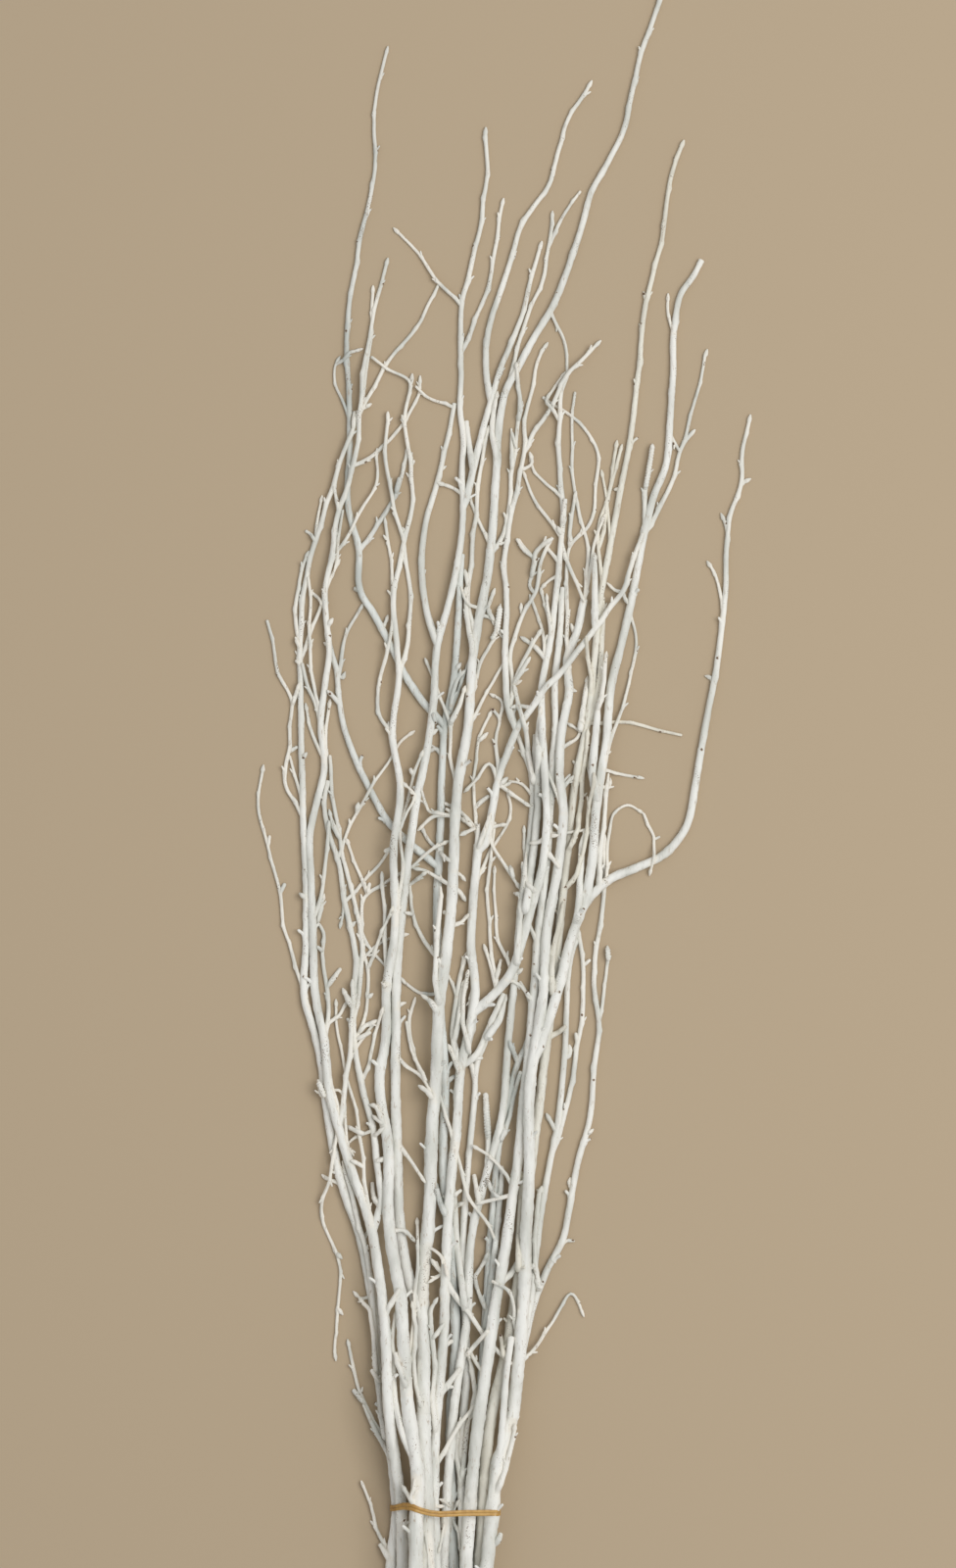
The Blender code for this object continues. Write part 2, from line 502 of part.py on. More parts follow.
def grow_twig(strands, thickness, route):
    """A twig on the strand of its limb that passes nearest to its first point."""
    limb = strands[0]
    points = np.array([on_surface(*pixel) for pixel in route])
    carrier = min(strands, key=lambda strand: nearest_on_route(strand.points, points[0])[0])
    _, *root = nearest_on_route(carrier.points, points[0])
    clear_of_fork = limb.fork_end + thickness + limb.radii[0]
    if carrier is limb and limb.carrier and along(limb.arc, *root) < clear_of_fork:
        points[0] = along(limb.points, *limb.at_arc(clear_of_fork))
    ends = (thickness, thickness * TWIG_TAPER)
    twig = Strand(limb.limb, limb.order + 0.5, ends, points, carrier, TWIG_SLOPE)
    find_fork_end(twig)
    return twig


def crossings(strands):
    """Every pair of places, one on each of two limbs, that would touch at equal heights.

    Each row holds the upper strand, its segment and share, the lower one's, and the rise between them.
    """
    places = []
    for number, strand in enumerate(strands):
        for segment, share in strand.samples():
            in_fork = strand.carrier and along(strand.arc, segment, share) <= strand.fork_end
            wood = strand.carrier if in_fork else strand
            x, y = along(strand.points, segment, share)
            radius = along(strand.radii, segment, share)
            places.append((number, segment, share, x, y, radius, wood.limb, (wood.order, number)))
    tree = KDTree(len(places))
    for index, place in enumerate(places):
        tree.insert((place[3], place[4], 0), index)
    tree.balance()
    widest = max(place[5] for place in places)
    rows = []
    for number, segment, share, x, y, radius, limb, rank in places:
        for _, other, distance in tree.find_range((x, y, 0), radius + widest + CROSSING_GAP):
            below = places[other]
            if below[0] == number or below[6] == limb or below[7] > rank:
                continue
            reach = radius + below[5] + CROSSING_GAP
            if distance < reach:
                rise = math.sqrt(reach**2 - distance**2)
                rows.append((number, segment, share, below[0], below[1], below[2], rise))
    return rows


def settle(strands):
    """Raises the strands from the surface until each one lies clear on those below it."""
    starts = np.cumsum([0] + [len(strand.points) for strand in strands])
    heights = np.concatenate([strand.radii for strand in strands])
    floor = heights.copy()
    band_y = on_surface(0, BAND_ROW)[1]
    for strand, start in zip(strands, starts):
        near = np.abs(strand.points[:, 1] - band_y) < BAND_REACH
        floor[start : start + len(near)][near] += BAND_THICKNESS + BAND_CLEARANCE + BAND_FLOOR_GAP
    table = np.array(crossings(strands))
    upper = starts[table[:, 0].astype(int)] + table[:, 1].astype(int)
    lower = starts[table[:, 3].astype(int)] + table[:, 4].astype(int)
    upper_share, lower_share, rise = table[:, 2], table[:, 5], table[:, 6]
    spread = (1 - upper_share) ** 2 + upper_share**2
    first = np.concatenate([np.arange(len(s.lengths)) + start for s, start in zip(strands, starts)])
    limit = np.concatenate([strand.lengths * strand.slope for strand in strands])
    runs = np.concatenate([strand.lengths for strand in strands])
    follows = np.flatnonzero(first[1:] == first[:-1] + 1)
    before, after = runs[follows], runs[follows + 1]
    middle = first[follows] + 1
    hump = before * after / (2 * HUMP_RADIUS)
    joined = [(s, start) for s, start in zip(strands, starts) if s.carrier]
    root = np.array([start for _, start in joined])
    held = np.array([starts[strands.index(s.carrier)] + s.root_segment for s, _ in joined])
    held_share = np.array([s.root_share for s, _ in joined])
    held_spread = (1 - held_share) ** 2 + held_share**2
    heights = np.maximum(heights, floor)
    for _ in range(SETTLING_ROUNDS):
        earlier = heights.copy()
        top = heights[upper] * (1 - upper_share) + heights[upper + 1] * upper_share
        below = heights[lower] * (1 - lower_share) + heights[lower + 1] * lower_share
        short = np.maximum(below + rise - top, 0) / spread
        raised = heights.copy()
        np.maximum.at(raised, upper, heights[upper] + short * (1 - upper_share))
        np.maximum.at(raised, upper + 1, heights[upper + 1] + short * upper_share)
        heights = raised
        held_at = heights[held] * (1 - held_share) + heights[held + 1] * held_share
        heights[root] = np.maximum(heights[root], held_at)
        short = (heights[root] - held_at) / held_spread
        np.maximum.at(heights, held, heights[held] + short * (1 - held_share))
        np.maximum.at(heights, held + 1, heights[held + 1] + short * held_share)
        np.maximum.at(heights, first, heights[first + 1] - limit)
        np.maximum.at(heights, first + 1, heights[first] - limit)
        chord = (heights[middle - 1] * after + heights[middle + 1] * before) / (before + after)
        short = np.maximum(heights[middle] - chord - hump, 0)
        np.maximum.at(heights, middle - 1, heights[middle - 1] + short)
        np.maximum.at(heights, middle + 1, heights[middle + 1] + short)
        if np.abs(heights - earlier).max() < SETTLED_WITHIN:
            break
    for strand, start in zip(strands, starts):
        strand.heights = heights[start : start + len(strand.points)]


def ring_sides(radius):
    """Sides of a tube of this radius: few on a twig, more on a stem."""
    for limit, sides in SIDES_UP_TO:
        if radius < limit:
            return sides
    return MOST_SIDES


def tube_mesh(name, places, radii):
    """A closed tube along the places, with one corner of each ring pointing down."""
    sides = ring_sides(max(radii))
    shape = bmesh.new()
    rings = []
    for index, (place, radius) in enumerate(zip(places, radii)):
        before = places[max(index - 1, 0)]
        after = places[min(index + 1, len(places) - 1)]
        forward = (after - before).normalized()
        sideways = forward.cross(Vector((0, 0, 1))).normalized()
        upwards = sideways.cross(forward)
        ring = []
        for side in range(sides):
            angle = math.tau * side / sides - math.pi / 2
            offset = sideways * math.cos(angle) + upwards * math.sin(angle)
            ring.append(shape.verts.new(place + offset * radius))
        rings.append(ring)
    for ring, following in zip(rings, rings[1:]):
        for side in range(sides):
            beside = (side + 1) % sides
            shape.faces.new((ring[side], ring[beside], following[beside], following[side]))
    shape.faces.new(rings[0][::-1])
    shape.faces.new(rings[-1])
    bmesh.ops.recalc_face_normals(shape, faces=shape.faces)
    mesh = bpy.data.meshes.new(name)
    shape.to_mesh(mesh)
    shape.free()
    return mesh


def united(name, tubes):
    """One object that is the Boolean union of all these tubes.

    The default solver drops all but one tube where a twig doubles back, so the manifold one is used.
    """
    whole = bpy.data.objects.new(name, tubes[0])
    bpy.context.scene.collection.objects.link(whole)
    helpers = []
    for tube in tubes[1:]:
        helper = bpy.data.objects.new(tube.name, tube)
        helper.hide_render = True
        helper.display_type = "WIRE"
        bpy.context.scene.collection.objects.link(helper)
        helpers.append(helper)
        union = whole.modifiers.new(tube.name, "BOOLEAN")
        union.operation = "UNION"
        union.object = helper
        union.solver = "MANIFOLD"
    if helpers:
        bpy.context.view_layer.update()
        graph = bpy.context.evaluated_depsgraph_get()
        fused = bpy.data.meshes.new_from_object(whole.evaluated_get(graph))
        whole.modifiers.clear()
        whole.data = fused
    for helper in helpers:
        bpy.data.objects.remove(helper)
    return whole


def build_limb(name, limbs):
    """The node of one limb: its own wood, its twigs, and the stubs of the limbs that fork from it."""
    limb, *twigs = limbs[name]
    start = limb.fork_end + SPLIT_GAP if limb.carrier else 0.0
    tubes = [tube_mesh(name, *limb.stretch(start, limb.arc[-1]))]
    for number, twig in enumerate(twigs):
        tubes.append(tube_mesh(f"{name}_twig_{number}", *twig.stretch(0.0, twig.arc[-1])))
    for child, *_ in limbs.values():
        if child.carrier is limb:
            tubes.append(tube_mesh(child.limb + "_stub", *child.stretch(0.0, child.fork_end)))
    return united(name, tubes)


def band_outline(limbs, outset):
    """The tight loop round the stems at the band, this far outside them, as points across X and Z."""
    band_y = on_surface(0, BAND_ROW)[1]
    around = []
    for stem, *_ in limbs.values():
        if stem.carrier:
            continue
        for segment, share in stem.samples():
            x, y = along(stem.points, segment, share)
            if abs(y - band_y) < BAND_WIDTH:
                z = along(stem.heights, segment, share)
                reach = along(stem.radii, segment, share) + outset
                for step in range(BAND_SIDES):
                    angle = math.tau * step / BAND_SIDES
                    around.append((x + reach * math.cos(angle), z + reach * math.sin(angle)))
    return [around[index] for index in convex_hull_2d(around)]


def evenly(outline, count):
    """This many points evenly spaced round a closed outline, started at its lowest point."""
    loop = np.array(outline)
    loop = np.roll(loop, -int(loop[:, 1].argmin()), axis=0)
    loop = np.vstack([loop, loop[:1]])
    arc = np.concatenate([[0], np.hypot(*(loop[1:] - loop[:-1]).T).cumsum()])
    stops = np.linspace(0, arc[-1], count, endpoint=False)
    return np.stack([np.interp(stops, arc, loop[:, axis]) for axis in (0, 1)], axis=1)


def build_band(limbs):
    """The flat rubber band: a closed strip round the stems."""
    band_y = on_surface(0, BAND_ROW)[1]
    middle = evenly(band_outline(limbs, BAND_CLEARANCE + BAND_THICKNESS / 2), 2 * BAND_SIDES)
    shape = bmesh.new()
    rings = []
    count = len(middle)
    for index in range(count):
        run = middle[(index + 1) % count] - middle[index - 1]
        outwards = np.array([run[1], -run[0]]) / np.hypot(*run)
        ring = []
        for out, side in ((-1, -1), (1, -1), (1, 1), (-1, 1)):
            x, z = middle[index] + outwards * out * BAND_THICKNESS / 2
            ring.append(shape.verts.new((x, band_y + side * BAND_WIDTH / 2, z)))
        rings.append(ring)
    for index in range(count):
        ring, following = rings[index], rings[(index + 1) % count]
        for corner in range(4):
            beside = (corner + 1) % 4
            shape.faces.new((ring[corner], ring[beside], following[beside], following[corner]))
    bmesh.ops.recalc_face_normals(shape, faces=shape.faces)
    mesh = bpy.data.meshes.new("rubber_band")
    shape.to_mesh(mesh)
    shape.free()
    band = bpy.data.objects.new("rubber_band", mesh)
    bpy.context.scene.collection.objects.link(band)
    return band


def finish_of(name, colour, roughness):
    """A plain Principled material for one piece."""
    material = bpy.data.materials.new(name)
    material.use_nodes = True
    surface = material.node_tree.nodes["Principled BSDF"]
    surface.inputs["Base Color"].default_value = (*colour, 1)
    surface.inputs["Roughness"].default_value = roughness
    surface.inputs["Metallic"].default_value = 0.0
    return material


def paint_of(name):
    stem = name[: len("stem_00")]
    if stem in CREAM_STEMS:
        return CREAM_PAINT
    return GREY_PAINT if stem in GREY_STEMS else WHITE_PAINT


def main():
    for leftover in list(bpy.data.objects):
        bpy.data.objects.remove(leftover)
    limbs = grow_limbs()
    settle([strand for strands in limbs.values() for strand in strands])
    for name in limbs:
        limb = build_limb(name, limbs)
        limb.data.materials.clear()
        limb.data.materials.append(finish_of(name, paint_of(name), PAINT_ROUGHNESS))
    band = build_band(limbs)
    band.data.materials.append(finish_of("rubber_band", GOLDEN_RUBBER, RUBBER_ROUGHNESS))


main()
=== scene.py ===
# %% [markdown]
# # A tied bundle of white-painted birch stems
#
# Florists cut long birch whips, let them dry, dip them in white paint and tie them with a rubber
# band. Thirteen of them lie flat here, with their tips away from us. The construction model already
# holds every limb as a plain solid at its real size. This lesson dresses it: round knobbly wood
# instead of faceted tubes, buds and broken spurs, chalky paint that has worn thin, and a stretched
# golden band. We start by loading the construction model as a fixed frame and keeping its box.

# %% Load the frame
import math
import random

import bpy
import numpy as np
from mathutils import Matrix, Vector
from mathutils.geometry import convex_hull_2d
from mathutils.kdtree import KDTree


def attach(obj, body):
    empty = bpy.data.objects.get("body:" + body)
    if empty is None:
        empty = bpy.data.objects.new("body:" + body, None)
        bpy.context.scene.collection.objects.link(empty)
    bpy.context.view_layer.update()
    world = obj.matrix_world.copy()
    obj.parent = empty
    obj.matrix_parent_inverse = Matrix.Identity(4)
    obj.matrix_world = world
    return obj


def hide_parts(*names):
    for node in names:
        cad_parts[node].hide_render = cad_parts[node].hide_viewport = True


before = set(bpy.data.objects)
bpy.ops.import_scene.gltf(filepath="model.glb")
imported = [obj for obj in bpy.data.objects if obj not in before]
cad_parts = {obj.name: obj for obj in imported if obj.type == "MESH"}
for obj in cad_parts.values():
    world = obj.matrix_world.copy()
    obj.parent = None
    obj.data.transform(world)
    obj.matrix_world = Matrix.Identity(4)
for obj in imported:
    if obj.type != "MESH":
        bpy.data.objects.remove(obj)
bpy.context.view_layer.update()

MM = 0.001

# %% [markdown]
# ## The view, the light and the table
#
# The photograph looks straight down on the bundle. A long lens high above gives that flat view with
# hardly any perspective, so a place in the picture is a place on the table. We write down the scale
# once, as the real size of one photograph pixel, and aim the camera from it.
#
# The light is one large soft lamp high on the right and an even pale sky: the shadows between the
# stems stay soft, and only the left sides of the stems turn grey. Several small lamps would be
# brighter, but each would draw its own hard shadow of every twig.

# %% Scale of the photograph
PHOTO_PIXEL = 0.7 * MM
PHOTO_COLUMNS = 976
PHOTO_ROWS = 1600
CENTRE_COLUMN = 515.0
CENTRE_ROW = 834.0


def on_table(column, row):
    """The place on the table, across and along, that a photograph pixel shows."""
    return np.array([column - CENTRE_COLUMN, CENTRE_ROW - row]) * PHOTO_PIXEL


view_x, view_y = on_table(PHOTO_COLUMNS / 2, PHOTO_ROWS / 2)
print("the picture's middle lies at", round(view_x / MM, 1), round(view_y / MM, 1), "mm")

# %% Camera straight above
LENS = 135.0
SENSOR = 36.0
FARTHEST_SEEN = 100.0


def placed(name, data):
    """A new object that shows this data in the scene."""
    piece = bpy.data.objects.new(name, data)
    bpy.context.scene.collection.objects.link(piece)
    return piece


camera_data = bpy.data.cameras.new("camera")
camera_data.lens = LENS
camera_data.sensor_width = SENSOR
camera_data.clip_end = FARTHEST_SEEN
camera = placed("camera", camera_data)
camera_height = PHOTO_ROWS * PHOTO_PIXEL * LENS / SENSOR
camera.location = (view_x, view_y, camera_height)
bpy.context.scene.camera = camera
print("camera height in metres:", round(camera_height, 2))

# %% Table top
TABLE_SIZE = 40.0
TABLE_GAP = 0.1 * MM
TABLE_COLOUR = (0.46, 0.36, 0.24)
TABLE_ROUGHNESS = 0.9


def mesh_of(name, vertices, faces):
    """A new mesh with these vertices and faces."""
    mesh = bpy.data.meshes.new(name)
    mesh.from_pydata(np.asarray(vertices).tolist(), [], faces)
    return mesh


def shader_of(name):
    """A new material, its node tree and its surface shader."""
    material = bpy.data.materials.new(name)
    material.use_nodes = True
    tree = material.node_tree
    return material, tree, tree.nodes["Principled BSDF"]


corner = TABLE_SIZE / 2
corners = ((-corner, -corner), (corner, -corner), (corner, corner), (-corner, corner))
table_mesh = mesh_of("table_top", [(x, y, -TABLE_GAP) for x, y in corners], [(0, 1, 2, 3)])
table_top = placed("table_top", table_mesh)
table_finish, _, table_shader = shader_of("plain_table")
table_shader.inputs["Base Color"].default_value = (*TABLE_COLOUR, 1)
table_shader.inputs["Roughness"].default_value = TABLE_ROUGHNESS
table_mesh.materials.append(table_finish)
print("table top:", TABLE_SIZE, "m square")

# %% Soft lamp and pale sky
LAMP_PLACE = Vector((1.7, 0.45, 3.4))
LAMP_SIZE = 2.6
LAMP_POWER = 90.0
SKY_COLOUR = (0.97, 0.98, 1.0)
SKY_STRENGTH = 0.52

lamp_data = bpy.data.lights.new("soft_lamp", "AREA")
lamp_data.size = LAMP_SIZE
lamp_data.energy = LAMP_POWER
lamp = placed("soft_lamp", lamp_data)
lamp.location = LAMP_PLACE
lamp.rotation_euler = (-LAMP_PLACE).to_track_quat("-Z", "Y").to_euler()
lamp.visible_camera = False

sky = bpy.data.worlds.new("pale_sky")
sky.use_nodes = True
sky_light = sky.node_tree.nodes["Background"]
sky_light.inputs["Color"].default_value = (*SKY_COLOUR, 1)
sky_light.inputs["Strength"].default_value = SKY_STRENGTH
bpy.context.scene.world = sky
bpy.context.scene.view_settings.view_transform = "Standard"
print("lamp", LAMP_POWER, "W from", [round(value, 1) for value in LAMP_PLACE])

# %% [markdown]
# ## The routes of the limbs
#
# No two twigs of a real bundle are alike, so their routes can't come from a formula. Each limb is
# written as a few places read off the photograph, from the cut end or the fork to the tip,
# with its thickness at both ends. The order says who lies on whom where two limbs cross. The
# construction model was made from the same lists, so every limb here lands on its own solid.

# %% Limbs
# Every limb: its parent, its height order where it crosses another, its thickness in millimetres
# at the cut or fork and at its tip, and its route across the photograph from the butt to the tip.
LIMBS = {
    "stem_01": (None, 20, 7.4, 1.6, (
        (394, 1668), (399, 1600), (405, 1540), (399, 1482), (392, 1440), (387, 1400), (384, 1350),
        (376, 1300), (367, 1260), (353, 1220), (342, 1180), (334, 1135), (329, 1090), (320, 1050),
        (311, 1020), (313, 960), (312, 900), (310, 850), (309, 800), (307, 745), (307, 690),
        (307, 640), (311, 600), (320, 560), (332, 520), (345, 480), (357, 445), (372, 414),
        (385, 389), (402, 361), (428, 331), (438, 308), (448, 290))),
    "stem_02": (None, 30, 8.2, 1.7, (
        (409, 1672), (411, 1600), (410, 1540), (403, 1480), (397, 1430), (393, 1340), (388, 1300),
        (376, 1240), (361, 1200), (349, 1160), (338, 1120), (331, 1060), (323, 1020), (320, 970),
        (318, 900), (317, 848), (324, 815), (331, 785), (328, 740), (332, 700), (336, 665),
        (334, 640), (333, 600), (340, 560), (346, 520), (357, 490), (364, 460), (368, 420),
        (370, 390), (376, 350), (381, 325), (389, 288), (396, 264))),
    "stem_02_outer_shoot": ("stem_02", 24, 4.4, 2.6, (
        (381, 1256), (385, 1240), (389, 1226), (388, 1208), (385, 1185), (381, 1150), (371, 1115),
        (364, 1080), (361, 1020), (363, 980), (357, 940), (351, 918), (346, 880), (334, 845),
        (332, 815), (335, 797))),
    "stem_03": (None, 60, 10.4, 1.6, (
        (423, 1676), (425, 1600), (426, 1540), (427, 1500), (421, 1460), (416, 1420), (412, 1360),
        (409, 1320), (402, 1280), (397, 1240), (397, 1180), (388, 1097), (394, 1060), (395, 1000),
        (401, 970), (404, 930), (402, 862), (409, 806), (401, 750), (407, 690), (405, 655),
        (402, 610), (407, 578), (414, 548), (420, 520), (420, 480), (416, 455), (414, 420),
        (418, 400), (421, 382))),
    "stem_03_thin_shoot": ("stem_03", 22, 4.4, 2.2, (
        (424, 1490), (413, 1463), (407, 1440), (402, 1385), (401, 1368), (405, 1335))),
    "stem_04": (None, 52, 10.6, 2.5, (
        (436, 1680), (437, 1600), (436, 1540), (433, 1450), (432, 1360), (432, 1300), (438, 1240),
        (441, 1160), (446, 1080), (448, 1030), (455, 980), (461, 920), (465, 840), (468, 796),
        (478, 740), (482, 680), (487, 640), (499, 580), (503, 540), (506, 490), (510, 430),
        (516, 400), (527, 379), (545, 345), (562, 316), (571, 297), (585, 260), (595, 228),
        (603, 198), (622, 163), (638, 131), (646, 90), (659, 42), (670, 12), (681, -16))),
    "stem_04_left_fork": ("stem_04", 54, 7.4, 2.1, (
        (430, 1345), (421, 1315), (411, 1270), (407, 1230), (405, 1160), (404, 1060), (405, 1000),
        (411, 925), (418, 865), (427, 810), (437, 760), (443, 710), (447, 657), (456, 625),
        (466, 580), (472, 540), (473, 512), (472, 480), (473, 450), (469, 415), (471, 380),
        (470, 335), (472, 309), (480, 275), (489, 240), (494, 205), (497, 178), (496, 131))),
    "stem_04_inner_arm": ("stem_04_left_fork", 50, 4.6, 2.4, (
        (447, 659), (440, 640), (434, 615), (431, 570), (435, 532), (444, 500), (452, 470),
        (459, 436), (464, 412))),
    "stem_04_leader_shoot": ("stem_04_left_fork", 56, 4.6, 2.0, (
        (473, 520), (478, 500), (488, 460), (498, 420), (505, 395), (510, 378), (522, 351),
        (533, 321), (541, 290), (549, 262), (553, 247))),
    "stem_04_tall_shoot": ("stem_04_leader_shoot", 55, 4.0, 1.9, (
        (501, 412), (497, 385), (497, 350), (501, 328), (510, 300), (522, 262), (531, 234),
        (545, 211), (561, 188), (571, 150), (576, 131), (590, 106), (604, 83))),
    "stem_05": (None, 40, 7.2, 5.4, (
        (448, 1676), (446, 1600), (443, 1530), (444, 1470), (449, 1410), (454, 1340), (456, 1270),
        (461, 1200), (467, 1140), (471, 1087), (480, 1045), (485, 1015), (481, 960), (483, 920),
        (488, 862))),
    "stem_05_upper_arm": ("stem_05", 58, 5.2, 2.4, (
        (487, 870), (494, 862), (502, 830), (510, 790), (519, 765), (529, 741), (545, 720),
        (556, 703), (571, 688), (588, 666), (604, 645), (620, 624), (636, 603), (641, 587),
        (649, 565), (656, 545))),
    "stem_05_middle_shoot": ("stem_05_upper_arm", 57, 4.4, 1.6, (
        (528, 745), (519, 722), (516, 685), (517, 620), (515, 570), (520, 535), (527, 503),
        (535, 463), (536, 430), (543, 398), (549, 370), (559, 350))),
    "stem_05_left_arm": ("stem_05", 38, 4.4, 2.2, (
        (470, 1090), (463, 1062), (466, 1022), (472, 990), (477, 972))),
    "stem_05_slant_arm": ("stem_05", 56, 6.2, 2.4, (
        (484, 1034), (505, 1013), (520, 995), (533, 960), (544, 920), (554, 880), (558, 840),
        (556, 790), (553, 740), (553, 700), (561, 660), (567, 610), (572, 560), (575, 520),
        (571, 480), (571, 430), (573, 402), (579, 384))),
    "stem_06": (None, 8, 7.6, 3.8, (
        (462, 1672), (463, 1600), (460, 1540), (461, 1450), (465, 1350), (459, 1270), (453, 1200),
        (454, 1100), (449, 1020), (446, 950), (449, 860), (451, 790), (455, 735), (462, 700),
        (467, 650), (470, 600), (471, 566))),
    "stem_06_left_limb": ("stem_06", 10, 4.8, 2.4, (
        (449, 885), (420, 862), (398, 840), (380, 810), (365, 780), (351, 740), (344, 690),
        (337, 657), (331, 622), (332, 604))),
    "stem_06_long_limb": ("stem_06", 12, 4.8, 1.5, (
        (454, 740), (434, 719), (416, 693), (398, 656), (384, 630), (368, 603), (366, 560),
        (356, 520), (357, 460), (355, 375), (354, 340), (361, 285), (371, 228), (382, 182),
        (382, 130), (386, 86), (396, 48))),
    "stem_07": (None, 16, 5.8, 3.2, (
        (474, 1670), (474, 1600), (471, 1520), (472, 1460), (476, 1400), (474, 1320), (473, 1250),
        (479, 1180), (484, 1120), (487, 1085), (496, 1062), (504, 1040), (511, 1018))),
    "stem_08": (None, 44, 9.0, 3.6, (
        (474, 1684), (476, 1600), (480, 1530), (487, 1460), (496, 1400), (504, 1340), (515, 1280),
        (523, 1220), (529, 1180), (535, 1120), (541, 1060), (546, 1000), (549, 955), (555, 905),
        (560, 850), (563, 790), (567, 740), (566, 700), (571, 650), (575, 600))),
    "stem_09": (None, 6, 5.6, 3.0, (
        (482, 1674), (486, 1600), (494, 1530), (498, 1470), (505, 1425), (516, 1385))),
    "stem_10": (None, 50, 9.8, 4.8, (
        (494, 1682), (497, 1600), (503, 1535), (508, 1495), (518, 1462), (524, 1433), (528, 1400),
        (531, 1375), (534, 1330), (537, 1260), (540, 1200), (541, 1110), (546, 1070), (555, 1010),
        (558, 950), (570, 880), (575, 830), (571, 790), (573, 750), (581, 705), (579, 672),
        (590, 640), (596, 612))),
    "stem_10_outer_shoot": ("stem_10", 48, 4.8, 2.1, (
        (529, 1400), (537, 1362), (549, 1318), (561, 1290), (574, 1266), (581, 1234), (591, 1180),
        (602, 1140), (607, 1090), (611, 1042), (606, 995), (611, 955), (618, 900), (616, 868),
        (617, 852))),
    "stem_10_right_shoot": ("stem_10", 42, 4.6, 3.0, (
        (532, 1370), (541, 1330), (547, 1280), (553, 1230), (561, 1188), (569, 1150), (574, 1100),
        (578, 1040), (580, 1000), (589, 945))),
    "stem_10_right_limb": ("stem_10", 56, 7.0, 1.9, (
        (546, 1080), (558, 1045), (571, 1005), (583, 958), (598, 921), (618, 900), (651, 885),
        (675, 873), (698, 848), (710, 802), (716, 765), (723, 725), (731, 682), (736, 650),
        (741, 600), (741, 560), (746, 524), (757, 490), (758, 458), (766, 424))),
    "stem_10_tall_limb": ("stem_10_right_limb", 54, 6.2, 3.4, (
        (596, 925), (604, 880), (609, 820), (618, 760), (624, 700), (634, 660), (647, 600),
        (659, 540), (668, 505), (678, 480), (684, 430), (687, 385), (688, 335), (696, 298),
        (707, 283), (716, 266))),
    "stem_11": (None, 14, 5.8, 3.4, (
        (469, 1670), (474, 1600), (482, 1520), (489, 1440), (495, 1350), (501, 1260), (508, 1180),
        (519, 1120), (528, 1085), (536, 1068), (541, 1055))),
    "stem_12": (None, 32, 6.4, 3.6, (
        (450, 1664), (453, 1600), (456, 1530), (463, 1440), (476, 1350), (482, 1260), (496, 1200),
        (512, 1140), (520, 1050), (527, 980), (533, 915), (541, 850), (545, 800), (547, 750))),
    "stem_13": (None, 18, 8.0, 2.2, (
        (488, 1672), (490, 1600), (494, 1520), (497, 1480), (503, 1435), (514, 1390), (522, 1350),
        (535, 1250), (547, 1150), (560, 1050), (570, 960), (578, 880), (587, 800), (599, 740),
        (606, 680), (613, 610), (622, 560), (634, 500), (642, 455), (650, 400), (655, 345),
        (660, 305), (667, 280), (677, 238), (684, 183), (691, 163), (698, 144))),
}
print(len(LIMBS), "limbs")

